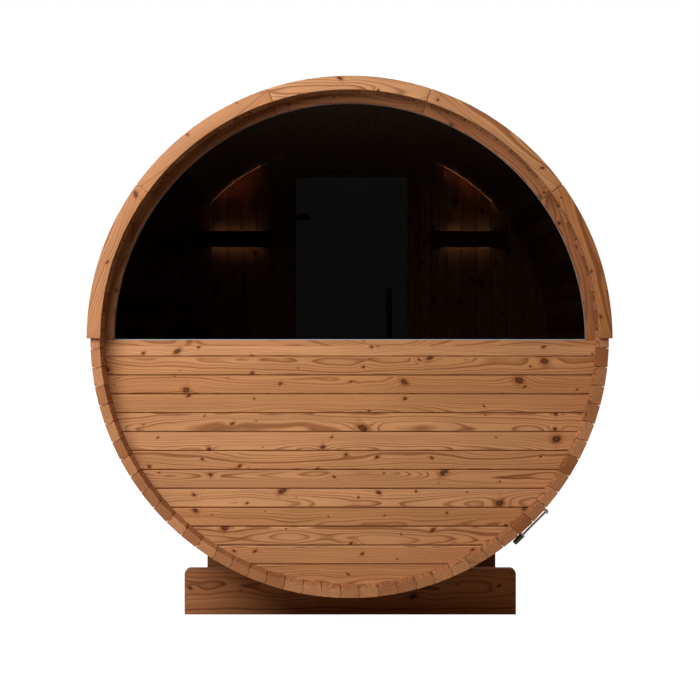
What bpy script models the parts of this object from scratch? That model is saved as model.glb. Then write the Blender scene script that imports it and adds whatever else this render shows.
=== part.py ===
"""Barrel sauna: a coopered wooden shell on two cradles, glazed at one end, entered at the other.

Metres, +Z up. The origin is on the ground under the middle of the barrel. The half-round
window looks to -Y and the glass door opens to +Y. Heights called rises are measured from the
barrel's own axis.
"""

import math

import bmesh
import bpy

# Fits
SEAT_GAP = 0.0003
SWING_GAP = 0.005
CUT_OVERRUN = 0.02
WELD_DISTANCE = 0.00003
SMOOTH_ANGLE = math.radians(35)

# Shell of straight staves with a bead on one edge and a cove in the other
SHELL_RADIUS = 1.028
STAVE_THICKNESS = 0.037
STAVE_LENGTH = 2.12
STAVES_IN_PANEL = 7
PANELS = 12
BEAD_HEIGHT = 0.004
BEAD_SHOULDER = 0.007
BEAD_STEPS = 4
JOINT_VEE_DEPTH = 0.0025
JOINT_VEE_WIDTH = 0.005
GROUND_CLEARANCE = 0.136

# End walls of tongued boards, seated in a groove round the inside of the staves
END_RECESS = 0.136
WALL_THICKNESS = 0.040
GROOVE_DEPTH = 0.010
BOARD_PITCH = 0.0764
BOARD_VEE_DEPTH = 0.0035
BOARD_VEE_WIDTH = 0.009
FIRST_BOARD_SHARE = 0.78
TOP_BOARD_SHARE = 0.85

# Arch boards that cover the ends of the staves above the axis
ARCH_SEGMENTS = 5
ARCH_THICKNESS = 0.022
ARCH_OVERHANG = 0.012
ARCH_LIP = 0.0055

# Half-round window
SILL_DROP = 0.006
WINDOW_FRAME_FACE = 0.038
WINDOW_FRAME_SEGMENTS = 5
WINDOW_GLASS_THICKNESS = 0.008
GLASS_BITE = 0.010

# Door frame
DOORWAY_WIDTH = 0.564
JAMB_FACE = 0.060
HEAD_FACE = 0.082
FRAME_DEPTH = 0.060
FRAME_PROUD_OUTSIDE = 0.012
HEAD_TO_SHELL = 0.086
THRESHOLD_HEIGHT = 0.045
THRESHOLD_TO_SHELL = 0.101
STOP_WIDTH = 0.015
EDGE_CHAMFER = 0.002

# Glass door
DOOR_GLASS_THICKNESS = 0.008
DOOR_CORNER_RADIUS = 0.006
HINGE_FROM_CORNER = 0.210
HINGE_AXIS_SETBACK = 0.005
HINGE_HEIGHT = 0.068
KNUCKLE_RADIUS = 0.007
PIN_RADIUS = 0.004
PIN_CLEARANCE = 0.0004
LEAF_THICKNESS = 0.006
LEAF_MARGIN = 0.004
KNUCKLE_END_GAP = 0.001
CLAMP_THICKNESS = 0.0055
CLAMP_LOBE_RADIUS = 0.017
CLAMP_LOBE_SPACING = 0.035
CLAMP_BRIDGE = 0.012
CLAMP_BOSS_RADIUS = 0.008

# Bar handle, through-bolted to the glass
HANDLE_LENGTH = 0.450
HANDLE_RISE = 0.036
HANDLE_RADIUS = 0.0145
HANDLE_BACKSET = 0.102
HANDLE_STANDOFF = 0.050
HANDLE_POST_INSET = 0.055
HANDLE_POST_RADIUS = 0.008
HANDLE_ROSE_RADIUS = 0.014
HANDLE_ROSE_THICKNESS = 0.004
HANDLE_ROUNDING = 0.003

# Wall lamps behind a wooden shade, open above and below
LAMP_SIDE_GAP = 0.0613
LAMP_HEIGHT = 0.081
LAMP_DEPTH = 0.066
LAMP_BOARD = 0.014
HEAD_TO_LAMP = 0.318

# Floor of slats on bearers, and the batten along the ridge
FLOOR_TO_SHELL = 0.131
SLAT_WIDTH = 0.086
SLAT_THICKNESS = 0.022
SLAT_GAP = 0.010
FLOOR_END_GAP = 0.012
FLOOR_SIDE_GAP = 0.012
BEARERS = 3
BEARER_WIDTH = 0.045
BEARER_END_INSET = 0.14
BEARER_HOUSING = 0.002
BATTEN_WIDTH = 0.070
BATTEN_THICKNESS = 0.0115

# Cradles that the barrel rests in
CRADLE_WIDTH = 1.40
CRADLE_HEIGHT = 0.192
CRADLE_THICKNESS = 0.070
CRADLE_INSET = 0.460
CRADLE_CORNER_RADIUS = 0.020
CORNER_STEPS = 4

# Steel hoops with a threaded tightener
HOOP_INSET = 0.125
HOOP_WIDTH = 0.024
HOOP_THICKNESS = 0.0015
TIGHTENER_ANGLE = math.radians(-45)
TIGHTENER_SPAN = 0.125
ROD_RADIUS = 0.005
ROD_STANDOFF = 0.024
LUG_THICKNESS = 0.006
LUG_TIP = 0.010
NUT_RADIUS = 0.0105
NUT_LENGTH = 0.046
NUT_ROUNDING = 0.006
BOLT_HEAD_RADIUS = 0.0095
BOLT_HEAD_LENGTH = 0.007
ROUND_SIDES = 16

# Heights and places that follow from the sizes above
PITCH = 2 * math.pi / (STAVES_IN_PANEL * PANELS)
INNER_RADIUS = SHELL_RADIUS - STAVE_THICKNESS
GROOVE_RADIUS = INNER_RADIUS + GROOVE_DEPTH
AXIS_HEIGHT = SHELL_RADIUS + GROUND_CLEARANCE
HALF_LENGTH = STAVE_LENGTH / 2
WALL_Y = HALF_LENGTH - END_RECESS - WALL_THICKNESS / 2
WALL_INNER_Y = WALL_Y - WALL_THICKNESS / 2
WALL_OUTER_Y = WALL_Y + WALL_THICKNESS / 2
WALL_EDGE_RADIUS = GROOVE_RADIUS - SEAT_GAP
HEAD_TOP = INNER_RADIUS - HEAD_TO_SHELL
HEAD_BOTTOM = HEAD_TOP - HEAD_FACE
LAMP_RISE = HEAD_BOTTOM - HEAD_TO_LAMP
THRESHOLD_BOTTOM = THRESHOLD_TO_SHELL - INNER_RADIUS
THRESHOLD_TOP = THRESHOLD_BOTTOM + THRESHOLD_HEIGHT
HALF_DOORWAY = DOORWAY_WIDTH / 2
FRAME_HALF_WIDTH = HALF_DOORWAY + JAMB_FACE
FRAME_OUTER_Y = WALL_OUTER_Y + FRAME_PROUD_OUTSIDE
FRAME_INNER_Y = FRAME_OUTER_Y - FRAME_DEPTH
DOOR_Y = FRAME_OUTER_Y - DOOR_GLASS_THICKNESS / 2
DOOR_INNER_FACE = FRAME_OUTER_Y - DOOR_GLASS_THICKNESS
STOP_Y = DOOR_INNER_FACE - SWING_GAP
REBATE_X = HALF_DOORWAY + STOP_WIDTH
HINGE_X = -REBATE_X - HINGE_AXIS_SETBACK
HINGE_Y = FRAME_OUTER_Y + SWING_GAP + KNUCKLE_RADIUS

WOOD_LIGHT = (0.50, 0.26, 0.135)
WOOD_MID = (0.42, 0.20, 0.10)
WOOD_DARK = (0.27, 0.125, 0.065)
GLASS_TINT = (0.04, 0.042, 0.045)
STEEL_GREY = (0.62, 0.62, 0.61)
BLACK_COAT = (0.012, 0.012, 0.013)


def clear_scene():
    for obj in list(bpy.data.objects):
        bpy.data.objects.remove(obj, do_unlink=True)


def make_collection(name):
    collection = bpy.data.collections.new(name)
    bpy.context.scene.collection.children.link(collection)
    return collection


def make_material(name, colour, roughness, metallic=0.0, transmission=0.0):
    """A Principled material of one colour."""
    material = bpy.data.materials.new(name)
    material.use_nodes = True
    shader = material.node_tree.nodes["Principled BSDF"]
    shader.inputs["Base Color"].default_value = (*colour, 1.0)
    shader.inputs["Roughness"].default_value = roughness
    shader.inputs["Metallic"].default_value = metallic
    shader.inputs["Transmission Weight"].default_value = transmission
    material.diffuse_color = (*colour, 1.0)
    return material


clear_scene()
PARTS = make_collection("barrel_sauna")
CUTTERS = make_collection("cutters")
SHELL_WOOD = make_material("shell_wood", WOOD_MID, 0.60)
WALL_WOOD = make_material("wall_wood", WOOD_LIGHT, 0.58)
TRIM_WOOD = make_material("trim_wood", WOOD_LIGHT, 0.55)
CRADLE_WOOD = make_material("cradle_wood", WOOD_DARK, 0.65)
FLOOR_WOOD = make_material("floor_wood", WOOD_MID, 0.65)
TINTED_GLASS = make_material("tinted_glass", GLASS_TINT, 0.02, transmission=1.0)
STAINLESS = make_material("stainless_steel", STEEL_GREY, 0.32, metallic=1.0)
BLACK_METAL = make_material("black_metal", BLACK_COAT, 0.38, metallic=1.0)


def place(name, mesh, location=(0, 0, 0), rotation=(0, 0, 0), material=None):
    """Puts a mesh in the scene: a part if it has a material, or else a cutter."""
    obj = bpy.data.objects.new(name, mesh)
    obj.location = location
    obj.rotation_euler = rotation
    if material:
        mesh.materials.append(material)
        PARTS.objects.link(obj)
    else:
        obj.hide_render = True
        obj.display_type = "WIRE"
        CUTTERS.objects.link(obj)
    return obj


def plate(name, outlines, thickness):
    """A flat plate in the XY plane. The first outline is its edge and any others are holes."""
    curve = bpy.data.curves.new(name, "CURVE")
    curve.dimensions = "2D"
    curve.fill_mode = "BOTH"
    curve.extrude = thickness / 2
    for outline in outlines:
        spline = curve.splines.new("POLY")
        spline.points.add(len(outline) - 1)
        for point, (x, y) in zip(spline.points, outline):
            point.co = (x, y, 0, 1)
        spline.use_cyclic_u = True
    flat = bpy.data.objects.new(name, curve)
    CUTTERS.objects.link(flat)
    bpy.context.view_layer.update()
    graph = bpy.context.evaluated_depsgraph_get()
    mesh = bpy.data.meshes.new_from_object(flat.evaluated_get(graph))
    bpy.data.objects.remove(flat)
    bpy.data.curves.remove(curve)
    solid = bmesh.new()
    solid.from_mesh(mesh)
    bmesh.ops.remove_doubles(solid, verts=solid.verts, dist=WELD_DISTANCE)
    bmesh.ops.recalc_face_normals(solid, faces=solid.faces)
    solid.to_mesh(mesh)
    solid.free()
    mesh.name = name
    return mesh


def box(name, low, high, material=None):
    """A block between two opposite corners."""
    size = [b - a for a, b in zip(low, high)]
    solid = bmesh.new()
    bmesh.ops.create_cube(solid, size=1)
    bmesh.ops.scale(solid, vec=size, verts=solid.verts)
    mesh = bpy.data.meshes.new(name)
    solid.to_mesh(mesh)
    solid.free()
    return place(name, mesh, [(a + b) / 2 for a, b in zip(low, high)], material=material)


def round_bar(name, radius, length, location, rotation=(0, 0, 0), material=None):
    """A cylinder along its own Z."""
    solid = bmesh.new()
    bmesh.ops.create_cone(
        solid, cap_ends=True, segments=ROUND_SIDES, radius1=radius, radius2=radius, depth=length
    )
    mesh = bpy.data.meshes.new(name)
    solid.to_mesh(mesh)
    solid.free()
    return smooth(place(name, mesh, location, rotation, material))


def turned(name, profile, location, rotation, material=None):
    """A solid turned about its own Z from (radius, height) points, top to bottom."""
    mesh = bpy.data.meshes.new(name)
    ends = [(i, i + 1) for i in range(len(profile) - 1)]
    mesh.from_pydata([(radius, 0, height) for radius, height in profile], ends, [])
    obj = place(name, mesh, location, rotation, material)
    lathe = obj.modifiers.new("Lathe", "SCREW")
    lathe.steps = ROUND_SIDES
    lathe.render_steps = ROUND_SIDES
    lathe.use_merge_vertices = True
    lathe.merge_threshold = WELD_DISTANCE
    return obj


def smooth(obj):
    obj.data.shade_smooth()
    obj.data.set_sharp_from_angle(angle=SMOOTH_ANGLE)
    return obj


def boolean(obj, other, operation="DIFFERENCE"):
    modifier = obj.modifiers.new(operation.title(), "BOOLEAN")
    modifier.operation = operation
    modifier.solver = "EXACT"
    modifier.object = other
    return obj


def chamfer(obj, width):
    modifier = obj.modifiers.new("Eased edges", "BEVEL")
    modifier.width = width
    modifier.segments = 1
    modifier.limit_method = "ANGLE"
    return obj


def hang_on(obj, carrier):
    """Parents a piece to the empty on its joint's axis, where it stands."""
    obj.parent = carrier
    obj.matrix_parent_inverse = carrier.matrix_basis.inverted()
    return obj


# Every ring on the barrel follows the staves' flats, so that what seats on them lies flat.


def polar(radius, angle):
    return radius * math.cos(angle), radius * math.sin(angle)


def flat_radius(radius, angle):
    """How far the flats of a ring with its corners at radius lie from the axis at an angle."""
    from_middle = (angle + PITCH / 2) % PITCH - PITCH / 2
    return radius * math.cos(PITCH / 2) / math.cos(from_middle)


def arc(radius, start, end):
    """Points of a ring from one angle to a larger one, with a corner at each stave joint."""
    first = math.floor(start / PITCH + 0.5) + 1
    last = math.ceil(end / PITCH + 0.5) - 1
    corners = [(k - 0.5) * PITCH for k in range(first, last + 1)]
    close = PITCH / 1000
    corners = [a for a in corners if start + close < a < end - close]
    return [polar(flat_radius(radius, a), a) for a in [start, *corners, end]]


def ring(radius):
    """A whole ring with a corner at each stave joint."""
    return arc(radius, -PITCH / 2, 2 * math.pi - PITCH / 2)[:-1]


def ring_sector(inner, outer, start, end):
    return arc(outer, start, end) + arc(inner, start, end)[::-1]


UPRIGHT = (math.pi / 2, 0, 0)
ACROSS = (math.pi / 2, 0, math.pi / 2)


def end_plate(name, outlines, thickness, y, material=None):
    """A plate square to the barrel, drawn in X and rise."""
    return place(name, plate(name, outlines, thickness), (0, y, AXIS_HEIGHT), UPRIGHT, material)


# Shell


def stave_edge(angle, shift):
    """The edge of a stave from inside to outside: a rounded bead between two shoulders."""
    along = (math.cos(angle), math.sin(angle))
    across = (-math.sin(angle), math.cos(angle))
    half_bead = STAVE_THICKNESS / 2 - BEAD_SHOULDER
    bead_radius = (half_bead**2 + BEAD_HEIGHT**2) / (2 * BEAD_HEIGHT)
    turn = math.asin(half_bead / bead_radius)
    middle = (SHELL_RADIUS + INNER_RADIUS) / 2
    points = [(INNER_RADIUS, shift)]
    for step in range(BEAD_STEPS + 1):
        at = turn * (2 * step / BEAD_STEPS - 1)
        bulge = bead_radius * math.cos(at) - bead_radius + BEAD_HEIGHT
        points.append((middle + bead_radius * math.sin(at), shift + bulge))
    points.append((SHELL_RADIUS, shift))
    return [(along[0] * r + across[0] * t, along[1] * r + across[1] * t) for r, t in points]


def vee_corners(radius, depth, centre):
    """The faces of one panel's staves, with a small vee where two staves meet."""
    points = []
    half_turn = JOINT_VEE_WIDTH / 2 / radius
    for k in range(1, STAVES_IN_PANEL):
        joint = centre + (k - STAVES_IN_PANEL / 2) * PITCH
        points.append(polar(flat_radius(radius, joint - half_turn), joint - half_turn))
        points.append(polar(radius + depth, joint))
        points.append(polar(flat_radius(radius, joint + half_turn), joint + half_turn))
    return points


def stave_panel(number, grooves):
    """Seven staves as one piece of the shell."""
    centre = math.radians(-90) + number * STAVES_IN_PANEL * PITCH
    half = STAVES_IN_PANEL * PITCH / 2
    outline = stave_edge(centre + half, -SEAT_GAP / 2)
    outline += vee_corners(SHELL_RADIUS, -JOINT_VEE_DEPTH, centre)[::-1]
    outline += stave_edge(centre - half, SEAT_GAP / 2)[::-1]
    outline += vee_corners(INNER_RADIUS, JOINT_VEE_DEPTH, centre)
    name = f"stave_panel_{number + 1:02d}"
    panel = end_plate(name, [outline], STAVE_LENGTH, 0, SHELL_WOOD)
    for groove in grooves:
        boolean(panel, groove)


def shell():
    """Twelve panels of staves with the grooves that hold the end walls."""
    rim = [ring(GROOVE_RADIUS), ring(INNER_RADIUS - CUT_OVERRUN)[::-1]]
    width = WALL_THICKNESS + 2 * SEAT_GAP
    grooves = [
        end_plate(f"{end}_groove", rim, width, side * WALL_Y)
        for end, side in (("window", -1), ("door", 1))
    ]
    for number in range(PANELS):
        stave_panel(number, grooves)


def arch_trims():
    """Curved boards over the ends of the staves, from the axis up, butted end to end."""
    outer = SHELL_RADIUS + ARCH_OVERHANG
    inner = INNER_RADIUS - ARCH_LIP
    sweep = math.pi / ARCH_SEGMENTS
    half_gap = SEAT_GAP / 2 / outer
    y = HALF_LENGTH + SEAT_GAP + ARCH_THICKNESS / 2
    for end, side in (("window", -1), ("door", 1)):
        for number in range(ARCH_SEGMENTS):
            start = number * sweep + half_gap
            outline = ring_sector(inner, outer, start, start + sweep - 2 * half_gap)
            end_plate(f"{end}_arch_{number + 1}", [outline], ARCH_THICKNESS, side * y, TRIM_WOOD)


# Window end


def board_faces(first, last, joints):
    """The outline of a wall of boards, with a vee in both faces at each joint."""
    half = WALL_THICKNESS / 2
    near = [(first, half)]
    for joint in joints:
        if first + BOARD_VEE_WIDTH < joint < last - BOARD_VEE_WIDTH:
            near.append((joint - BOARD_VEE_WIDTH / 2, half))
            near.append((joint, half - BOARD_VEE_DEPTH))
            near.append((joint + BOARD_VEE_WIDTH / 2, half))
    near.append((last, half))
    return near + [(along, -across) for along, across in reversed(near)]


def glass_outline(allowance):
    """The half-round pane, or with an allowance the space that it fills in its frame and sill."""
    radius = INNER_RADIUS - WINDOW_FRAME_FACE + GLASS_BITE - SEAT_GAP + allowance
    bottom = -SILL_DROP - GLASS_BITE + SEAT_GAP - allowance
    start = math.asin(bottom / radius)
    points = arc(radius, start, math.pi - start)
    return [(points[0][0], bottom), *points[1:-1], (points[-1][0], bottom)]


def window_end():
    """A wall of level boards up to the axis, and above it a half-round window in a frame."""
    pocket_width = WINDOW_GLASS_THICKNESS + 2 * SEAT_GAP
    pocket = end_plate("glass_pocket", [glass_outline(SEAT_GAP)], pocket_width, -WALL_Y)

    reach = GROOVE_RADIUS + CUT_OVERRUN
    lowest = INNER_RADIUS - SILL_DROP - BOARD_VEE_WIDTH
    boards = math.ceil(lowest / BOARD_PITCH - TOP_BOARD_SHARE)
    joints = [-SILL_DROP - (TOP_BOARD_SHARE + k) * BOARD_PITCH for k in reversed(range(boards))]
    outline = [(across, along) for along, across in board_faces(-reach, -SILL_DROP, joints)]
    wall_mesh = plate("window_wall", [outline], 2 * reach)
    wall = place("window_wall", wall_mesh, (0, -WALL_Y, AXIS_HEIGHT), ACROSS, WALL_WOOD)
    disc = end_plate("window_disc", [ring(WALL_EDGE_RADIUS)], 2 * WALL_THICKNESS, -WALL_Y)
    boolean(wall, disc, "INTERSECT")
    boolean(wall, pocket)

    inner = INNER_RADIUS - WINDOW_FRAME_FACE
    sweep = math.pi / WINDOW_FRAME_SEGMENTS
    half_gap = SEAT_GAP / 2 / inner
    foot = -SILL_DROP + SEAT_GAP
    for number in range(WINDOW_FRAME_SEGMENTS):
        start = number * sweep + half_gap
        end = start + sweep - 2 * half_gap
        outline = ring_sector(inner, WALL_EDGE_RADIUS, start, end)
        corners = len(outline) // 2
        if number == 0:
            outline += [(outline[-1][0], foot), (outline[0][0], foot)]
        if number == WINDOW_FRAME_SEGMENTS - 1:
            left_outer, left_inner = outline[corners - 1], outline[corners]
            outline[corners:corners] = [(left_outer[0], foot), (left_inner[0], foot)]
        name = f"window_frame_{number + 1}"
        boolean(end_plate(name, [outline], WALL_THICKNESS, -WALL_Y, TRIM_WOOD), pocket)

    glass = [glass_outline(0)]
    end_plate("window_glass", glass, WINDOW_GLASS_THICKNESS, -WALL_Y, TINTED_GLASS)


# Door end


def door_wall(name, x_range, rise_range, joints, disc):
    """Part of the wall of upright boards beside, over or under the doorway."""
    height = rise_range[1] - rise_range[0]
    middle = AXIS_HEIGHT + (rise_range[0] + rise_range[1]) / 2
    mesh = plate(name, [board_faces(*x_range, joints)], height)
    wall = place(name, mesh, (0, WALL_Y, middle), material=WALL_WOOD)
    return boolean(wall, disc, "INTERSECT")


def door_end():
    """The wall round the doorway, and the frame of jambs, head and threshold in it."""
    disc = end_plate("door_disc", [ring(WALL_EDGE_RADIUS)], 2 * WALL_THICKNESS, WALL_Y)
    reach = GROOVE_RADIUS + CUT_OVERRUN
    beside = FRAME_HALF_WIDTH + SEAT_GAP
    over = FRAME_HALF_WIDTH - SEAT_GAP
    boards = math.ceil(reach / BOARD_PITCH)
    right = [FRAME_HALF_WIDTH + (FIRST_BOARD_SHARE + k) * BOARD_PITCH for k in range(boards)]
    left = [-joint for joint in reversed(right)]
    across = [(k + 0.5) * BOARD_PITCH for k in range(-boards, boards)]
    door_wall("door_wall_left", (-reach, -beside), (-reach, reach), left, disc)
    door_wall("door_wall_right", (beside, reach), (-reach, reach), right, disc)
    door_wall("door_wall_over", (-over, over), (HEAD_TOP + SEAT_GAP, reach), across, disc)
    door_wall("door_wall_under", (-over, over), (-reach, THRESHOLD_BOTTOM - SEAT_GAP), across, disc)

    rebate = box(
        "door_rebate",
        (-REBATE_X, STOP_Y, AXIS_HEIGHT + THRESHOLD_TOP),
        (REBATE_X, FRAME_OUTER_Y + CUT_OVERRUN, AXIS_HEIGHT + HEAD_BOTTOM + STOP_WIDTH),
    )

    def timber(name, x_range, rise_range, rebated):
        piece = box(
            name,
            (x_range[0], FRAME_INNER_Y, AXIS_HEIGHT + rise_range[0]),
            (x_range[1], FRAME_OUTER_Y, AXIS_HEIGHT + rise_range[1]),
            TRIM_WOOD,
        )
        if rebated:
            boolean(piece, rebate)

    upright = (THRESHOLD_TOP + SEAT_GAP, HEAD_BOTTOM - SEAT_GAP)
    timber("door_jamb_left", (-FRAME_HALF_WIDTH, -HALF_DOORWAY), upright, True)
    timber("door_jamb_right", (HALF_DOORWAY, FRAME_HALF_WIDTH), upright, True)
    timber("door_head", (-FRAME_HALF_WIDTH, FRAME_HALF_WIDTH), (HEAD_BOTTOM, HEAD_TOP), True)
    sill = (THRESHOLD_BOTTOM, THRESHOLD_TOP)
    timber("door_threshold", (-FRAME_HALF_WIDTH, FRAME_HALF_WIDTH), sill, False)


# Door


def circle(radius, x, y):
    turns = [2 * math.pi * k / ROUND_SIDES for k in range(ROUND_SIDES)]
    return [(x + radius * math.cos(a), y + radius * math.sin(a)) for a in turns]


def rounded_rectangle(left, right, bottom, top, radius):
    points = []
    corners = ((right, top), (left, top), (left, bottom), (right, bottom))
    for quarter, (x, y) in enumerate(corners):
        inward_x = -1 if x == right else 1
        inward_y = -1 if y == top else 1
        for step in range(CORNER_STEPS + 1):
            angle = math.pi / 2 * (quarter + step / CORNER_STEPS)
            along, up = polar(radius, angle)
            points.append((x + inward_x * radius + along, y + inward_y * radius + up))
    return points


GLASS_LEFT = -REBATE_X + SWING_GAP
GLASS_SWING_RADIUS = REBATE_X - HINGE_X - SWING_GAP
GLASS_RIGHT = HINGE_X + math.sqrt(GLASS_SWING_RADIUS**2 - (HINGE_Y - DOOR_INNER_FACE) ** 2)
GLASS_TOP = HEAD_BOTTOM + STOP_WIDTH - SWING_GAP
GLASS_BOTTOM = THRESHOLD_TOP + SWING_GAP
CLAMP_LEFT = -HALF_DOORWAY + SWING_GAP
HINGE_RISES = (GLASS_TOP - HINGE_FROM_CORNER, GLASS_BOTTOM + HINGE_FROM_CORNER)
LOBE_XS = [CLAMP_LEFT + CLAMP_LOBE_RADIUS + k * CLAMP_LOBE_SPACING for k in (0, 1)]
HANDLE_X = GLASS_RIGHT - HANDLE_BACKSET
POST_RISES = [
    HANDLE_RISE + side * (HANDLE_LENGTH / 2 - HANDLE_POST_INSET) for side in (1, -1)
]


def door_glass(axis):
    holes = [
        circle(CLAMP_BOSS_RADIUS + SEAT_GAP, x, rise)[::-1] for rise in HINGE_RISES for x in LOBE_XS
    ]
    holes += [circle(HANDLE_POST_RADIUS + SEAT_GAP, HANDLE_X, rise)[::-1] for rise in POST_RISES]
    edge = rounded_rectangle(GLASS_LEFT, GLASS_RIGHT, GLASS_BOTTOM, GLASS_TOP, DOOR_CORNER_RADIUS)
    outlines = [edge, *holes]
    glass = end_plate("door_glass", outlines, DOOR_GLASS_THICKNESS, DOOR_Y, TINTED_GLASS)
    hang_on(glass, axis)


def clamp_outline(rise):
    """Two round lobes side by side, joined along the top by a bridge."""
    radius = CLAMP_LOBE_RADIUS
    under = math.asin((radius - CLAMP_BRIDGE) / radius)
    left_x, right_x = LOBE_XS
    lobe_arcs = (
        (left_x, math.pi / 2, 2 * math.pi + under),
        (right_x, math.pi - under, math.pi * 5 / 2),
    )
    points = []
    for x, start, end in lobe_arcs:
        for step in range(ROUND_SIDES + 1):
            along, up = polar(radius, start + (end - start) * step / ROUND_SIDES)
            points.append((x + along, rise + up))
    return points


def knuckle_outline(start, end, foot):
    """A knuckle in plan, open between two angles, where its web runs to the points of foot."""
    steps = [start + (end - start) * k / ROUND_SIDES for k in range(ROUND_SIDES + 1)]
    return [polar(KNUCKLE_RADIUS, angle) for angle in steps] + foot


def hinge(name, rise, axis):
    """A leaf and pin on the jamb, and a knuckle with a two-lobed clamp bolted through the glass."""
    z = AXIS_HEIGHT + rise
    half = HINGE_HEIGHT / 2
    third = HINGE_HEIGHT / 3
    face = FRAME_OUTER_Y + SEAT_GAP
    leaf_right = HINGE_X - KNUCKLE_RADIUS - 2 * KNUCKLE_END_GAP
    leaf = box(
        f"{name}_leaf",
        (LEAF_MARGIN - FRAME_HALF_WIDTH, face, z - half),
        (leaf_right, face + LEAF_THICKNESS, z + half),
        BLACK_METAL,
    )
    foot_right = leaf_right - KNUCKLE_END_GAP - HINGE_X
    foot_left = foot_right - LEAF_THICKNESS
    foot_low = face + LEAF_THICKNESS / 4 - HINGE_Y
    foot_high = foot_low + LEAF_THICKNESS / 2
    foot = [(foot_left, foot_high), (foot_left, foot_low), (foot_right, foot_low)]
    fixed_knuckle = knuckle_outline(-math.pi / 2, math.pi, foot)
    for side in (1, -1):
        mesh = plate(f"{name}_knuckle", [fixed_knuckle], third)
        where = (HINGE_X, HINGE_Y, z + side * third)
        boolean(leaf, place(f"{name}_knuckle", mesh, where), "UNION")
    pin = round_bar(f"{name}_pin", PIN_RADIUS, 2 * third, (HINGE_X, HINGE_Y, z))
    boolean(leaf, pin, "UNION")

    outer_y = FRAME_OUTER_Y + SEAT_GAP + CLAMP_THICKNESS / 2
    inner_y = DOOR_INNER_FACE - SEAT_GAP - CLAMP_THICKNESS / 2
    outline = clamp_outline(rise)
    clamp = end_plate(f"{name}_clamp", [outline], CLAMP_THICKNESS, outer_y, BLACK_METAL)
    for x in LOBE_XS:
        centre = (x, (outer_y + inner_y) / 2, z)
        boss = round_bar(f"{name}_boss", CLAMP_BOSS_RADIUS, outer_y - inner_y, centre, UPRIGHT)
        boolean(clamp, boss, "UNION")
    inner_plate = end_plate(f"{name}_inner_plate", [outline], CLAMP_THICKNESS, inner_y)
    boolean(clamp, inner_plate, "UNION")
    arm_start = CLAMP_LEFT + CLAMP_LOBE_RADIUS / 2 - HINGE_X
    arm_end = LOBE_XS[1] - HINGE_X
    in_clamp = outer_y - HINGE_Y
    arm = [
        (arm_start, -KNUCKLE_RADIUS),
        (arm_start, in_clamp),
        (arm_end, in_clamp),
        (arm_end, in_clamp + CLAMP_THICKNESS),
        (arm_start, in_clamp + CLAMP_THICKNESS + KNUCKLE_RADIUS / 2),
    ]
    eye = knuckle_outline(math.pi / 2, math.pi * 3 / 2, arm)
    bore = circle(PIN_RADIUS + PIN_CLEARANCE, 0, 0)[::-1]
    eye_mesh = plate(f"{name}_eye", [eye, bore], third - 2 * KNUCKLE_END_GAP)
    boolean(clamp, place(f"{name}_eye", eye_mesh, (HINGE_X, HINGE_Y, z)), "UNION")
    hang_on(clamp, axis)


def door_handle(axis):
    """A round bar on each face of the glass, on posts that pass through it."""
    outer_y = FRAME_OUTER_Y + HANDLE_STANDOFF
    inner_y = DOOR_INNER_FACE - HANDLE_STANDOFF
    z = AXIS_HEIGHT + HANDLE_RISE
    half = HANDLE_LENGTH / 2
    rounding = HANDLE_ROUNDING
    profile = [
        (0, half),
        (HANDLE_RADIUS - rounding, half),
        (HANDLE_RADIUS, half - rounding),
        (HANDLE_RADIUS, rounding - half),
        (HANDLE_RADIUS - rounding, -half),
        (0, -half),
    ]
    none = (0, 0, 0)
    handle = turned("door_handle", profile, (HANDLE_X, outer_y, z), none, BLACK_METAL)
    inner_bar = turned("inner_bar", profile, (HANDLE_X, inner_y, z), none)
    boolean(handle, inner_bar, "UNION")
    reach = (outer_y - inner_y) / 2
    seat = DOOR_GLASS_THICKNESS / 2 + SEAT_GAP
    rose = seat + HANDLE_ROSE_THICKNESS
    upper_half = [
        (0, reach),
        (HANDLE_POST_RADIUS, reach),
        (HANDLE_POST_RADIUS, rose),
        (HANDLE_ROSE_RADIUS, rose),
        (HANDLE_ROSE_RADIUS, seat),
        (HANDLE_POST_RADIUS, seat),
    ]
    post_profile = upper_half + [(radius, -along) for radius, along in reversed(upper_half)]
    for rise in POST_RISES:
        centre = (HANDLE_X, DOOR_Y, AXIS_HEIGHT + rise)
        boolean(handle, turned("handle_post", post_profile, centre, UPRIGHT), "UNION")
    hang_on(handle, axis)


def door():
    """The glass door, its hinges and its handle, turning on one upright axis."""
    axis = bpy.data.objects.new("door_axis", None)
    axis.location = (HINGE_X, HINGE_Y, AXIS_HEIGHT)
    PARTS.objects.link(axis)
    bpy.context.view_layer.update()
    door_glass(axis)
    for place_name, rise in zip(("upper", "lower"), HINGE_RISES):
        hinge(f"{place_name}_hinge", rise, axis)
    door_handle(axis)


# Inside


def lamp_shades():
    """A wooden shade on each side of the door, closed at its ends and open above and below."""
    shell_x = math.sqrt(INNER_RADIUS**2 - (LAMP_RISE + LAMP_HEIGHT / 2) ** 2)
    centre = (FRAME_HALF_WIDTH + shell_x) / 2
    half = (shell_x - FRAME_HALF_WIDTH) / 2 - LAMP_SIDE_GAP
    back = WALL_INNER_Y - SEAT_GAP
    front = back - LAMP_DEPTH
    for name, side in (("left", -1), ("right", 1)):
        outline = [
            (half, back),
            (half, front),
            (-half, front),
            (-half, back),
            (LAMP_BOARD - half, back),
            (LAMP_BOARD - half, front + LAMP_BOARD),
            (half - LAMP_BOARD, front + LAMP_BOARD),
            (half - LAMP_BOARD, back),
        ]
        mesh = plate(f"lamp_shade_{name}", [outline], LAMP_HEIGHT)
        where = (side * centre, 0, AXIS_HEIGHT + LAMP_RISE)
        place(f"lamp_shade_{name}", mesh, where, material=TRIM_WOOD)


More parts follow.
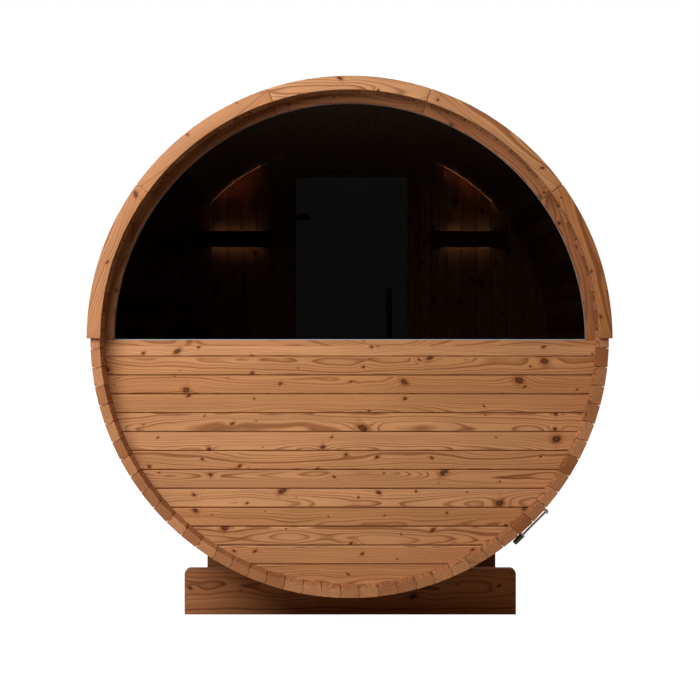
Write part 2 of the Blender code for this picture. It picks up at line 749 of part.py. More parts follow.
def repeat(obj, count, step):
    modifier = obj.modifiers.new("Row", "ARRAY")
    modifier.count = count
    modifier.use_relative_offset = False
    modifier.use_constant_offset = True
    modifier.constant_offset_displace = step
    return obj


def floor_deck():
    """Slats along the barrel on bearers that are cut to the staves."""
    top = FLOOR_TO_SHELL - INNER_RADIUS
    under = top - SLAT_THICKNESS
    half_chord = math.sqrt(INNER_RADIUS**2 - under**2) - FLOOR_SIDE_GAP
    slat_pitch = SLAT_WIDTH + SLAT_GAP
    count = int((2 * half_chord + SLAT_GAP) // slat_pitch)
    left = -(count * slat_pitch - SLAT_GAP) / 2
    half_length = WALL_INNER_Y - FLOOR_END_GAP
    deck = box(
        "floor_deck",
        (left, -half_length, AXIS_HEIGHT + under),
        (left + SLAT_WIDTH, half_length, AXIS_HEIGHT + top),
        FLOOR_WOOD,
    )
    repeat(deck, count, (slat_pitch, 0, 0))

    bearer_top = under + BEARER_HOUSING
    seat_radius = INNER_RADIUS - SEAT_GAP
    reach = math.pi / 2 - math.acos(-bearer_top / seat_radius)
    outline = arc(seat_radius, -math.pi + reach, -reach)
    outline[0] = (outline[0][0], bearer_top)
    outline[-1] = (outline[-1][0], bearer_top)
    first = -half_length + BEARER_END_INSET
    spacing = (half_length - BEARER_END_INSET) * 2 / (BEARERS - 1)
    bearers = end_plate("bearers", [outline], BEARER_WIDTH, first)
    repeat(bearers, BEARERS, (0, 0, -spacing))
    boolean(deck, bearers, "UNION")


def ceiling_batten():
    """A thin board along the ridge, between the window frame and the door wall."""
    top = flat_radius(INNER_RADIUS, math.pi / 2) - SEAT_GAP
    half_length = WALL_INNER_Y - SEAT_GAP
    batten = box(
        "ceiling_batten",
        (-BATTEN_WIDTH / 2, -half_length, AXIS_HEIGHT + top - BATTEN_THICKNESS),
        (BATTEN_WIDTH / 2, half_length, AXIS_HEIGHT + top),
        TRIM_WOOD,
    )
    chamfer(batten, EDGE_CHAMFER)


# Outside


def cradles():
    """Two beams sawn to the curve of the staves, with eased shoulders."""
    bottom = -AXIS_HEIGHT
    top = bottom + CRADLE_HEIGHT
    half = CRADLE_WIDTH / 2
    seat_radius = SHELL_RADIUS + SEAT_GAP
    half_seat = math.sqrt(seat_radius**2 - top**2)
    start = -math.pi + math.atan2(-top, half_seat)
    seat = arc(seat_radius, start, -math.pi - start)
    seat[0] = (-half_seat, top)
    seat[-1] = (half_seat, top)
    radius = CRADLE_CORNER_RADIUS
    shoulder = []
    for step in range(CORNER_STEPS + 1):
        along, up = polar(radius, math.pi / 2 * (1 - step / CORNER_STEPS))
        shoulder.append((half - radius + along, top - radius + up))
    outline = seat + shoulder + [(half, bottom), (-half, bottom)]
    outline += [(-x, y) for x, y in reversed(shoulder)]
    y = HALF_LENGTH - CRADLE_INSET - CRADLE_THICKNESS / 2
    for name, side in (("window", -1), ("door", 1)):
        end_plate(f"{name}_cradle", [outline], CRADLE_THICKNESS, side * y, CRADLE_WOOD)


def hoop_outline():
    """A band with a gap in it, whose ends turn up into lugs square to the rod."""
    inner = SHELL_RADIUS + SEAT_GAP
    outer = inner + HOOP_THICKNESS
    outward = polar(1, TIGHTENER_ANGLE)
    onward = polar(1, TIGHTENER_ANGLE + math.pi / 2)
    near = TIGHTENER_SPAN / 2
    far = near + LUG_THICKNESS
    tip = SHELL_RADIUS + ROD_STANDOFF + LUG_TIP

    def beside_gap(along):
        return outward[0] * tip + onward[0] * along, outward[1] * tip + onward[1] * along

    gap_turn = math.asin(near / inner)
    lug_turn = math.asin(far / outer)
    whole = 2 * math.pi + TIGHTENER_ANGLE
    band_inside = arc(inner, TIGHTENER_ANGLE + gap_turn, whole - gap_turn)
    band_outside = arc(outer, TIGHTENER_ANGLE + lug_turn, whole - lug_turn)
    last_lug = [beside_gap(-near), beside_gap(-far)]
    first_lug = [beside_gap(far), beside_gap(near)]
    return band_inside + last_lug + band_outside[::-1] + first_lug


def hoops():
    """A flat steel band round each end, drawn up by a threaded rod between two lugs."""
    outline = hoop_outline()
    rod_x, rod_rise = polar(SHELL_RADIUS + ROD_STANDOFF, TIGHTENER_ANGLE)
    along_rod = (0, math.pi - TIGHTENER_ANGLE, 0)
    seat = TIGHTENER_SPAN / 2 + LUG_THICKNESS + SEAT_GAP
    profile = [(0, seat + NUT_LENGTH)]
    for step in range(CORNER_STEPS):
        along, up = polar(NUT_ROUNDING, math.pi / 2 * (1 - step / (CORNER_STEPS - 1)))
        profile.append((NUT_RADIUS - NUT_ROUNDING + along, seat + NUT_LENGTH - NUT_ROUNDING + up))
    profile += [
        (NUT_RADIUS, seat),
        (ROD_RADIUS, seat),
        (ROD_RADIUS, -seat),
        (BOLT_HEAD_RADIUS, -seat),
        (BOLT_HEAD_RADIUS, -seat - BOLT_HEAD_LENGTH),
        (0, -seat - BOLT_HEAD_LENGTH),
    ]
    y = HALF_LENGTH - HOOP_INSET
    for name, side in (("window", -1), ("door", 1)):
        hoop = end_plate(f"{name}_hoop", [outline], HOOP_WIDTH, side * y, STAINLESS)
        where = (rod_x, side * y, AXIS_HEIGHT + rod_rise)
        hole_radius = ROD_RADIUS + SEAT_GAP
        hole = round_bar(f"{name}_rod_hole", hole_radius, 2 * TIGHTENER_SPAN, where, along_rod)
        boolean(hoop, hole)
        turned(f"{name}_tightener", profile, where, along_rod, STAINLESS)


shell()
arch_trims()
window_end()
door_end()
door()
lamp_shades()
floor_deck()
ceiling_batten()
cradles()
hoops()
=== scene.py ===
"""Barrel sauna: the finish of every piece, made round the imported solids.

Metres, +Z up, in the part's own frame: the barrel lies along Y, its window looks to -Y and its door
opens to +Y. Rises are heights above the barrel's axis.
"""

import math
import random

import bmesh
import bpy
from mathutils import Matrix, Vector


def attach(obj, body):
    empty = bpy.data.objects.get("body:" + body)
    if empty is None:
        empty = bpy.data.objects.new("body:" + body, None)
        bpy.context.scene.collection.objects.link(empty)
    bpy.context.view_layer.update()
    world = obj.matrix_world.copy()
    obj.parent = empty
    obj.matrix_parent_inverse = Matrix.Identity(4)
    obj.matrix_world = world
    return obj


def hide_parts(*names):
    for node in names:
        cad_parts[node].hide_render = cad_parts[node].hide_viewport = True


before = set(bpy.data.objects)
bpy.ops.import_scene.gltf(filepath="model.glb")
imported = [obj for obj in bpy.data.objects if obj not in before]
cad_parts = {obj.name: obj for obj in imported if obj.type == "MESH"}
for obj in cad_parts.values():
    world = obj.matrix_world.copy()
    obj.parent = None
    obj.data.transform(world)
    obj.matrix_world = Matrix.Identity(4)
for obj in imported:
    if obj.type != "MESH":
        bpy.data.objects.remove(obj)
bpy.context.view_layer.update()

# Camera, square to the window end. The photograph is 700 pixels wide and high; its vanishing point and
# the far wall's apparent size give the place and the lens, whose length is in pixels too.
PHOTO_SIDE = 700
VANISHING_POINT = (359, 343)
FOCAL_LENGTH = 1772
CAMERA_PLACE = (0.037, -8.082, 1.147)
SENSOR = 0.036

camera_data = bpy.data.cameras.new("camera")
camera_data.sensor_width = 1000 * SENSOR
camera_data.lens = 1000 * SENSOR * FOCAL_LENGTH / PHOTO_SIDE
camera_data.shift_x = (PHOTO_SIDE / 2 - VANISHING_POINT[0]) / PHOTO_SIDE
camera_data.shift_y = (VANISHING_POINT[1] - PHOTO_SIDE / 2) / PHOTO_SIDE
camera = bpy.data.objects.new("camera", camera_data)
camera.location = CAMERA_PLACE
camera.rotation_euler = (math.pi / 2, 0, 0)
bpy.context.scene.collection.objects.link(camera)
bpy.context.scene.camera = camera
bpy.context.scene.view_settings.view_transform = "Standard"

# Studio: a pale floor under a white sky, and a broad soft lamp high in front on the left. The sky is
# white to the eye, through glass and in metal. It lights the wood weakly and warm from in front, and more
# strongly and white from behind.
WHITE = (1.0, 1.0, 1.0, 1.0)
SKY_FILL = 0.135
REAR_FILL = 0.80
SKY_TINT = "#ffc898"
REAR_FROM_DEPTH = (-0.05, 0.6)
# A mirror sees it dark low down in front, and neither pane mirrors the lamp, so that the tinted glass
# shows the room and no glare.
MIRRORED_FROM_HEIGHT = (0.075, 0.32)
MIRRORED_FROM_DEPTH = (-0.45, 0.05)
FLOOR_SIDE = 60.0
FLOOR_GLOW = 0.985
FLOOR_SHARE = 0.40
FLOOR_TONE = "#a49e96"
KEY_PLACE = (-1.6, -3.7, 2.6)
KEY_TARGET = (0.1, -1.0, 1.15)
KEY_SIZE = 2.0
KEY_POWER = 142.0
KEY_TINT = "#fbfbff"


def linear(hex_colour):
    """An sRGB hex colour as linear red, green, blue and a full alpha."""
    shares = [int(hex_colour[i : i + 2], 16) / 255 for i in (1, 3, 5)]
    return [s / 12.92 if s <= 0.04045 else ((s + 0.055) / 1.055) ** 2.4 for s in shares] + [1.0]


def add(tree, kind, *inputs, **settings):
    """Adds a shader node. Its inputs come in order as values, sockets or nodes; None leaves one alone."""
    node = tree.nodes.new("ShaderNode" + kind)
    for setting, value in settings.items():
        setattr(node, setting, value)
    for socket, value in zip([s for s in node.inputs if s.enabled], inputs):
        if isinstance(value, bpy.types.Node):
            value = next(s for s in value.outputs if s.enabled)
        if isinstance(value, bpy.types.NodeSocket):
            tree.links.new(value, socket)
        elif value is not None:
            socket.default_value = value
    return node


world = bpy.data.worlds.new("studio_sky")
world.use_nodes = True
bpy.context.scene.world = world
sky = world.node_tree
sky.nodes.clear()
rays = add(sky, "LightPath")
direction = add(sky, "SeparateXYZ", add(sky, "TexCoord").outputs["Generated"])
towards = []
for axis, edges in (("Z", MIRRORED_FROM_HEIGHT), ("Y", MIRRORED_FROM_DEPTH), ("Y", REAR_FROM_DEPTH)):
    way = direction.outputs[axis]
    towards.append(add(sky, "MapRange", way, *edges, 0.0, 1.0, interpolation_type="SMOOTHSTEP"))
overhead, behind, rear = towards
pale_side = add(sky, "Math", overhead, behind, operation="MAXIMUM")
mirrored = add(sky, "Math", rays.outputs["Glossy Depth"], 1.0, operation="MINIMUM")
mirror_view = add(sky, "Math", pale_side, mirrored, operation="MULTIPLY")
direct_view = add(
    sky, "Math", rays.outputs["Is Camera Ray"], rays.outputs["Is Transmission Ray"], operation="MAXIMUM"
)
unmirrored = add(sky, "Math", 1.0, mirrored, operation="SUBTRACT")
direct_view = add(sky, "Math", direct_view, unmirrored, operation="MULTIPLY")
seen = add(sky, "Math", direct_view, mirror_view, operation="MAXIMUM")
not_fill = add(sky, "Math", seen, rays.outputs["Is Glossy Ray"], operation="MAXIMUM")
fill = add(sky, "Math", 1.0, not_fill, operation="SUBTRACT")
rear_fill = add(sky, "MapRange", rear, 0.0, 1.0, SKY_FILL, REAR_FILL)
fill = add(sky, "Math", fill, rear_fill, operation="MULTIPLY")
neutral = add(sky, "Math", seen, rear, operation="MAXIMUM")
tint = add(sky, "Mix", neutral, linear(SKY_TINT), WHITE, data_type="RGBA")
level = add(sky, "Math", seen, fill, operation="MAXIMUM")
add(sky, "OutputWorld", add(sky, "Background", tint, level))

# Matt white paper: white to the eye, greyer where it lights the object, and it takes the shadow.
studio_white = bpy.data.materials.new("studio_floor")
studio_white.use_nodes = True
tree = studio_white.node_tree
tree.nodes.clear()
rays = add(tree, "LightPath")
seen = add(
    tree, "Math", rays.outputs["Is Camera Ray"], rays.outputs["Is Transmission Ray"], operation="MAXIMUM"
)
level = add(tree, "Math", seen, FLOOR_GLOW, operation="MULTIPLY")
glow = add(tree, "Emission", WHITE, level)
matt = add(tree, "BsdfDiffuse", linear(FLOOR_TONE))
dimmed = add(tree, "BsdfDiffuse", (FLOOR_SHARE, FLOOR_SHARE, FLOOR_SHARE, 1.0))
matt = add(tree, "MixShader", seen, matt, dimmed)
add(tree, "OutputMaterial", add(tree, "AddShader", matt, glow))

floor_mesh = bmesh.new()
bmesh.ops.create_grid(floor_mesh, x_segments=1, y_segments=1, size=FLOOR_SIDE / 2)
floor_data = bpy.data.meshes.new("studio_floor")
floor_mesh.to_mesh(floor_data)
floor_mesh.free()
floor_data.materials.append(studio_white)
studio_floor = bpy.data.objects.new("studio_floor", floor_data)
bpy.context.scene.collection.objects.link(studio_floor)

key_data = bpy.data.lights.new("key_lamp", "AREA")
key_data.shape = "DISK"
key_data.size = KEY_SIZE
key_data.energy = KEY_POWER
key_data.color = linear(KEY_TINT)[:3]
key = bpy.data.objects.new("key_lamp", key_data)
key.location = KEY_PLACE
key.rotation_euler = (Vector(KEY_TARGET) - Vector(KEY_PLACE)).to_track_quat("-Z", "Y").to_euler()
bpy.context.scene.collection.objects.link(key)
unmirrored_in = bpy.data.collections.new("unmirrored_in")
for name in ("window_glass", "door_glass"):
    unmirrored_in.objects.link(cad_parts[name])
for linked in unmirrored_in.collection_objects:
    linked.light_linking.link_state = "EXCLUDE"
key.light_linking.receiver_collection = unmirrored_in


# Staves: 84 straight lengths of spruce, steamed brown and planed, each with a rounded bead on one edge
# and a cove in the other, and a groove across each end of the inside for the end walls. Every board is
# cut from a log, so its rings, knots and end grain are one pattern through its whole thickness.
AXIS = Vector((0, 0, 1.164))
STAVES = 84
STAVES_IN_PANEL = 7
STAVE_TURN = 2 * math.pi / STAVES
OUTER_CORNER = 1.028
INNER_CORNER = 0.991
STAVE_LENGTH = 2.12
BEAD_HEIGHT = 0.004
BEAD_SHOULDER = 0.007
BEAD_POINTS = 8
STAVE_EASE = 0.0026
STAVE_JOINT = 0.0018
CROZE_CORNER = 1.001
WALL_PLACE = 0.904
WALL_THICKNESS = 0.040
SEAT = 0.0003
CROZE_PAST = 1.2
CROZE_BELOW = 0.02

# The wood's pattern in metres. Rings are 3.6 to 5.2 mm wide, where real ones are 1 to 3, and fibres are
# 1.6 mm, because finer ones wouldn't show. BENDS, CLOUDS and RAGS are counts to the metre, along and
# across. Knots give the stretch of board that one lies in, the least and most radius, the share of
# stretches that have one, and a seed.
RING_WIDTH = 0.0052
RING_UNEVEN = 1.6
PITH_DEPTH = (0.055, 0.115)
PITH_ASIDE = (0.010, 0.062)
LOG_LENGTH = 120.0
BENDS = (1.3, 2.4, 2.4)
BEND_REACH = 0.060
FIBRE_WIDTH = 0.0016
FIBRE_LENGTH = 0.16
CLOUDS = (2.6, 22.0, 22.0)
LATE_WOOD = ((0.52, 0.08), (0.76, 0.72), (0.87, 1.0), (0.95, 0.40))
KNOT_BAND = 0.068
BIG_KNOTS = (0.44, 0.0055, 0.0160, 0.70, 3)
SMALL_KNOTS = (0.23, 0.0018, 0.0066, 0.78, 8)
NO_KNOT = 0.00001
RAGS = (60.0, 110.0, 110.0)
RELIEF = 0.0005

STEAMED_SPRUCE_SHELL = ("#be875b", "#935c35", "#663517", "#40200a", "#7c451f")
random_boards = random.Random(7)


def surface(name, values):
    """A new material and its shader, with the shader's own sockets set."""
    material = bpy.data.materials.new(name)
    material.use_nodes = True
    shader = material.node_tree.nodes["Principled BSDF"]
    for socket, value in values.items():
        shader.inputs[socket].default_value = value
    return material, shader


def planed_softwood(
    name, colours, roughness=0.56, ring_width=RING_WIDTH, knots=(BIG_KNOTS, SMALL_KNOTS), band=KNOT_BAND
):
    """Steamed and planed softwood: pale early wood, browner late wood, dark knots ringed with red.

    Steaming browns it through, and planing leaves a soft sheen with the late wood a little proud. The
    mesh carries three attributes: plank is the place in the board, log is the board's shade and where
    the pith lies from it, and sawn_end is 1 on the faces across the grain.
    """
    pale, deep, late, knot, halo = (linear(c) for c in colours)
    material, shader = surface(name, {"Specular IOR Level": 0.14})
    tree = material.node_tree
    plank = add(tree, "Attribute", attribute_name="plank").outputs["Vector"]
    log = add(tree, "Attribute", attribute_name="log").outputs["Vector"]
    sawn_end = add(tree, "Attribute", attribute_name="sawn_end").outputs["Fac"]
    along, across, depth = add(tree, "SeparateXYZ", plank).outputs
    shade, pith_across, pith_depth = add(tree, "SeparateXYZ", log).outputs

    # The trunk bends and bulges along its length, which opens the rings into long arches.
    trunk = add(tree, "VectorMath", plank, BENDS, operation="MULTIPLY")
    drift = add(tree, "TexNoise", trunk, 1.0, 3.0, 0.42)
    drift = add(tree, "SeparateColor", drift.outputs["Color"])
    from_pith = []
    for place, pith, channel in ((across, pith_across, "Red"), (depth, pith_depth, "Green")):
        offset = add(tree, "Math", place, pith, operation="ADD")
        bend = add(tree, "Math", drift.outputs[channel], 0.5, operation="SUBTRACT")
        from_pith.append(add(tree, "Math", bend, BEND_REACH, offset, operation="MULTIPLY_ADD"))
    radial = add(tree, "CombineXYZ", 0.0, from_pith[0], from_pith[1])
    radius = add(tree, "VectorMath", radial, operation="LENGTH")

    # Knots lie one to a stretch of board, at random. Each has a dark edge round a paler heart, red wood
    # that runs out of it along the grain, and rings that swell round it.
    ragged = add(tree, "VectorMath", plank, RAGS, operation="MULTIPLY")
    ragged = add(tree, "TexNoise", ragged, 1.0, 2.0, 0.6).outputs["Fac"]
    ragged = add(tree, "MapRange", ragged, 0.25, 0.75, 0.72, 1.28)
    swelling, heart, pale_heart, ring_of_red = 0.0, 0.0, 0.0, 0.0
    for spacing, smallest, largest, share, seed in knots:
        cell = add(tree, "Math", along, spacing, operation="DIVIDE")
        number = add(tree, "Math", cell, operation="FLOOR")
        number = add(tree, "CombineXYZ", number, float(seed), 0.0)
        pick = add(tree, "TexWhiteNoise", number, noise_dimensions="2D")
        where = add(tree, "SeparateColor", pick.outputs["Color"])
        middle = add(tree, "MapRange", where.outputs["Red"], 0.0, 1.0, 0.3, 0.7)
        local = add(tree, "Math", cell, operation="FRACT")
        local = add(tree, "Math", local, middle, operation="SUBTRACT")
        side = add(tree, "Math", where.outputs["Green"], 0.5, operation="SUBTRACT")
        side = add(tree, "Math", side, -band, across, operation="MULTIPLY_ADD")
        slant = add(tree, "MapRange", where.outputs["Blue"], 0.0, 1.0, -0.7, 0.7)
        local = add(tree, "Math", local, spacing, operation="MULTIPLY")
        local = add(tree, "Math", side, slant, local, operation="MULTIPLY_ADD")
        size = add(tree, "MapRange", pick.outputs["Value"], 1 - share, 1.0, 0.0, 1.0)
        size = add(tree, "Math", size, 1.6, operation="POWER")
        size = add(tree, "Math", size, largest - smallest, smallest, operation="MULTIPLY_ADD")
        there = add(tree, "Math", pick.outputs["Value"], 1 - share, operation="GREATER_THAN")
        size = add(tree, "Math", size, there, NO_KNOT, operation="MULTIPLY_ADD")
        long_way = add(tree, "Math", local, 0.78, operation="MULTIPLY")
        reach = add(tree, "CombineXYZ", long_way, side, 0.0)
        reach = add(tree, "VectorMath", reach, operation="LENGTH")
        reach = add(tree, "Math", reach, size, operation="DIVIDE")
        edge = add(tree, "Math", reach, ragged, operation="MULTIPLY")
        core = add(tree, "MapRange", edge, 0.62, 1.15, 1.0, 0.0, interpolation_type="SMOOTHSTEP")
        heart = add(tree, "Math", heart, core, operation="MAXIMUM")
        inside = add(tree, "MapRange", edge, 0.15, 0.75, 0.40, 0.0, interpolation_type="SMOOTHSTEP")
        pale_heart = add(tree, "Math", pale_heart, inside, operation="MAXIMUM")
        red = add(tree, "MapRange", edge, 0.9, 2.3, 1.0, 0.0, interpolation_type="SMOOTHSTEP")
        ring_of_red = add(tree, "Math", ring_of_red, red, operation="MAXIMUM")
        flame = add(tree, "CombineXYZ", local, side, 0.0)
        flame = add(tree, "VectorMath", flame, (1.15, 0.34, 1.0), operation="MULTIPLY")
        flame = add(tree, "VectorMath", flame, operation="LENGTH")
        flame = add(tree, "Math", flame, size, operation="DIVIDE")
        flame = add(tree, "Math", flame, ragged, operation="MULTIPLY")
        flame = add(tree, "MapRange", flame, 0.3, 1.5, 0.62, 0.0, interpolation_type="SMOOTHSTEP")
        ring_of_red = add(tree, "Math", ring_of_red, flame, operation="MAXIMUM")
        wide = add(tree, "Math", local, 0.42, operation="MULTIPLY")
        wide = add(tree, "VectorMath", add(tree, "CombineXYZ", wide, side, 0.0), operation="LENGTH")
        wide = add(tree, "Math", wide, size, operation="DIVIDE")
        wide = add(tree, "Math", wide, wide, operation="MULTIPLY")
        swell = add(tree, "Math", wide, -0.22, operation="MULTIPLY")
        swell = add(tree, "Math", swell, operation="EXPONENT")
        swell = add(tree, "Math", swell, size, operation="MULTIPLY")
        swelling = add(tree, "Math", swell, 0.50, swelling, operation="MULTIPLY_ADD")

    # Boards are docked where they have no knot, so the sawn ends show none.
    clear = add(tree, "Math", 1.0, sawn_end, operation="SUBTRACT")
    heart = add(tree, "Math", heart, clear, operation="MULTIPLY")
    pale_heart = add(tree, "Math", pale_heart, clear, operation="MULTIPLY")
    ring_of_red = add(tree, "Math", ring_of_red, clear, operation="MULTIPLY")

    # Yearly rings: early wood darkens slowly into late wood, then starts pale again.
    radius = add(tree, "Math", radius, swelling, operation="ADD")
    years = add(tree, "Math", radius, ring_width, operation="DIVIDE")
    uneven = add(tree, "TexNoise", years, 0.45, 1.0, noise_dimensions="1D")
    years = add(tree, "Math", uneven.outputs["Fac"], RING_UNEVEN, years, operation="MULTIPLY_ADD")
    season = add(tree, "Math", years, operation="FRACT")
    late_wood = add(tree, "ValToRGB", season)
    ramp = late_wood.color_ramp
    ramp.elements[0].position = 0.10
    ramp.elements[0].color = (0, 0, 0, 1)
    ramp.elements[1].position = 1.0
    ramp.elements[1].color = (0, 0, 0, 1)
    for place, value in LATE_WOOD:
        ramp.elements.new(place).color = (value, value, value, 1)
    year = add(tree, "Math", years, operation="FLOOR")
    vigour = add(tree, "TexWhiteNoise", year, noise_dimensions="1D").outputs["Value"]
    vigour = add(tree, "MapRange", vigour, 0.0, 1.0, 0.55, 1.0)
    late_wood = add(tree, "Math", late_wood.outputs["Color"], vigour, operation="MULTIPLY")

    # Fine fibres and soft clouds run along the board and vary its brightness.
    fibre = (1 / FIBRE_LENGTH, 1 / FIBRE_WIDTH, 1 / FIBRE_WIDTH)
    fibre = add(tree, "VectorMath", plank, fibre, operation="MULTIPLY")
    fibre = add(tree, "TexNoise", fibre, 1.0, 3.0, 0.65).outputs["Fac"]
    cloud = add(tree, "VectorMath", plank, CLOUDS, operation="MULTIPLY")
    cloud = add(tree, "TexNoise", cloud, 1.0, 2.0, 0.5).outputs["Fac"]

    board = add(tree, "Mix", shade, pale, deep, data_type="RGBA")
    grain = add(tree, "Mix", late_wood, board, late, data_type="RGBA")
    streaks = add(tree, "MapRange", fibre, 0.2, 0.8, 0.83, 1.15)
    clouds = add(tree, "MapRange", cloud, 0.25, 0.75, 0.88, 1.10)
    bright = add(tree, "Math", streaks, clouds, operation="MULTIPLY")
    ends = add(tree, "MapRange", sawn_end, 0.0, 1.0, 1.0, 1.05)
    bright = add(tree, "Math", bright, ends, operation="MULTIPLY")
    grain = add(tree, "HueSaturation", 0.5, 1.0, bright, 1.0, grain)
    blush = add(tree, "Math", ring_of_red, 0.62, operation="MULTIPLY")
    grain = add(tree, "Mix", blush, grain, halo, data_type="RGBA")
    grain = add(tree, "Mix", heart, grain, knot, data_type="RGBA")
    grain = add(tree, "Mix", pale_heart, grain, halo, data_type="RGBA")

    tree.links.new(next(s for s in grain.outputs if s.enabled), shader.inputs["Base Color"])
    gloss = add(tree, "MapRange", fibre, 0.2, 0.8, roughness - 0.05, roughness + 0.09)
    tree.links.new(gloss.outputs[0], shader.inputs["Roughness"])
    height = add(tree, "Math", late_wood, 0.5, fibre, operation="MULTIPLY_ADD")
    height = add(tree, "Math", heart, 0.8, height, operation="MULTIPLY_ADD")
    relief = add(tree, "Bump")
    relief.inputs["Strength"].default_value = 0.5
    relief.inputs["Distance"].default_value = RELIEF
    tree.links.new(height.outputs[0], relief.inputs["Height"])
    tree.links.new(relief.outputs["Normal"], shader.inputs["Normal"])
    return material


def loft(sections):
    """A closed solid through sections, each a list of as many points, in order."""
    solid = bmesh.new()
    rings = [[solid.verts.new(point) for point in section] for section in sections]
    count = len(rings[0])
    for near, far in zip(rings, rings[1:]):
        for i in range(count):
            j = (i + 1) % count
            solid.faces.new((near[i], near[j], far[j], far[i]))
    solid.faces.new(rings[0][::-1])
    solid.faces.new(rings[-1])
    bmesh.ops.recalc_face_normals(solid, faces=solid.faces)
    return solid


def prism(outline, length):
    """A straight length along X of an outline in Y and Z."""
    return loft([[(x, y, z) for y, z in outline] for x in (-length / 2, length / 2)])


def eased(solid, width, steps=2):
    """Rounds the sharp edges of a solid."""
    sharp = [e for e in solid.edges if e.is_manifold and e.calc_face_angle() > math.radians(30)]
    bmesh.ops.bevel(
        solid, geom=sharp, offset=width, segments=steps, profile=0.5, affect="EDGES", clamp_overlap=True
    )
    return solid


def carved(solid, tools, operation="DIFFERENCE"):
    """A solid cut by, or kept inside, other solids."""
    held = []
    for shape in [solid, *tools]:
        data = bpy.data.meshes.new("blank")
        shape.to_mesh(data)
        shape.free()
        held.append(bpy.data.objects.new("blank", data))
        bpy.context.scene.collection.objects.link(held[-1])
    for tool in held[1:]:
        cut = held[0].modifiers.new("cut", "BOOLEAN")
        cut.operation = operation
        cut.solver = "EXACT"
        cut.object = tool
    bpy.context.view_layer.update()
    result = bmesh.new()
    result.from_object(held[0], bpy.context.evaluated_depsgraph_get())
    for obj in held:
        data = obj.data
        bpy.data.objects.remove(obj)
        bpy.data.meshes.remove(data)
    return result


def block(low, high):
    """A plain block between two corners."""
    outline = [(low[1], low[2]), (high[1], low[2]), (high[1], high[2]), (low[1], high[2])]
    return loft([[(x, y, z) for y, z in outline] for x in (low[0], high[0])])


def lie(along, across, origin):
    """The placing of a piece whose length runs along and whose width runs across."""
    x_axis, y_axis = Vector(along).normalized(), Vector(across).normalized()
    return Matrix.Translation(origin) @ Matrix((x_axis, y_axis, x_axis.cross(y_axis))).transposed().to_4x4()


def timber():
    """An empty mesh that boards are laid in, with the attributes that the wood reads."""
    pile = bmesh.new()
    pile.verts.layers.float_vector.new("plank")
    pile.verts.layers.float_vector.new("log")
    pile.faces.layers.float.new("sawn_end")
    return pile


def lay(pile, board, place, shade=None):
    """Adds a board, modelled along X, to the pile, cut from a stretch of log of its own."""
    plank = pile.verts.layers.float_vector["plank"]
    log = pile.verts.layers.float_vector["log"]
    sawn_end = pile.faces.layers.float["sawn_end"]
    start = random_boards.uniform(0, LOG_LENGTH)
    tone = random_boards.random() if shade is None else shade
    aside = random_boards.uniform(*PITH_ASIDE) * random_boards.choice((-1, 1))
    under = random_boards.uniform(*PITH_DEPTH) * random_boards.choice((-1, 1))
    made = {}
    for vertex in board.verts:
        new = pile.verts.new(place @ vertex.co)
        new[plank] = vertex.co + Vector((start, 0, 0))
        new[log] = (tone, aside, under)
        made[vertex] = new
    board.normal_update()
    for face in board.faces:
        new_face = pile.faces.new([made[v] for v in face.verts])
        new_face[sawn_end] = 1.0 if abs(face.normal.x) > 0.7 else 0.0


def finished(name, pile, material, body, nodes=()):
    """Turns a mesh into a piece that rides on a body and stands for its solids."""
    data = bpy.data.meshes.new(name)
    pile.to_mesh(data)
    pile.free()
    data.materials.append(material)
    data.shade_smooth()
    data.set_sharp_from_angle(angle=math.radians(32))
    piece = bpy.data.objects.new(name, data)
    bpy.context.scene.collection.objects.link(piece)
    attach(piece, body)
    if nodes:
        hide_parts(*nodes)
    return piece


steamed_spruce_shell = planed_softwood("steamed_spruce_staves", STEAMED_SPRUCE_SHELL)
half_turn = STAVE_TURN / 2
flat = math.cos(half_turn)
middle_radius = (OUTER_CORNER + INNER_CORNER) / 2
half_bead = (OUTER_CORNER - INNER_CORNER) / 2 - BEAD_SHOULDER
bead_radius = (half_bead**2 + BEAD_HEIGHT**2) / (2 * BEAD_HEIGHT)
bead_turn = math.asin(half_bead / bead_radius)


def stave_side(sign):
    """The jointed side of a stave from inside to outside, as width and radius."""
    gap = STAVE_JOINT / 2
    places = [(INNER_CORNER, 0.0)]
    for step in range(BEAD_POINTS + 1):
        at = bead_turn * (2 * step / BEAD_POINTS - 1)
        bulge = bead_radius * math.cos(at) - bead_radius + BEAD_HEIGHT
        places.append((middle_radius + bead_radius * math.sin(at), bulge))
    places.append((OUTER_CORNER, 0.0))
    cos, sin = math.cos(half_turn), math.sin(half_turn)
    return [(sign * (r * sin - gap) + b * cos, r * cos - sign * b * sin) for r, b in places]


def stave_outline():
    """The stave's cross-section, with its four long corners eased."""
    bead, cove = stave_side(1), stave_side(-1)
    outline = []
    for side, sign in ((bead, 1), (cove[::-1], -1)):
        first, last, ease = side[0], side[-1], sign * STAVE_EASE
        outline += [(first[0] - ease, first[1]), (first[0], first[1] + ease)]
        outline += side[1:-1]
        outline += [(last[0], last[1] - ease), (last[0] - ease, last[1])]
    return [(across, radius - INNER_CORNER * flat) for across, radius in outline]


stave = prism(stave_outline(), STAVE_LENGTH)
croze = []
croze_half = WALL_THICKNESS / 2 + SEAT
croze_wide = OUTER_CORNER * half_turn * CROZE_PAST
croze_depth = (CROZE_CORNER - INNER_CORNER) * flat
for side in (-1, 1):
    low = (side * WALL_PLACE - croze_half, -croze_wide, -CROZE_BELOW)
    high = (side * WALL_PLACE + croze_half, croze_wide, croze_depth)
    croze.append(block(low, high))
stave = carved(stave, croze)

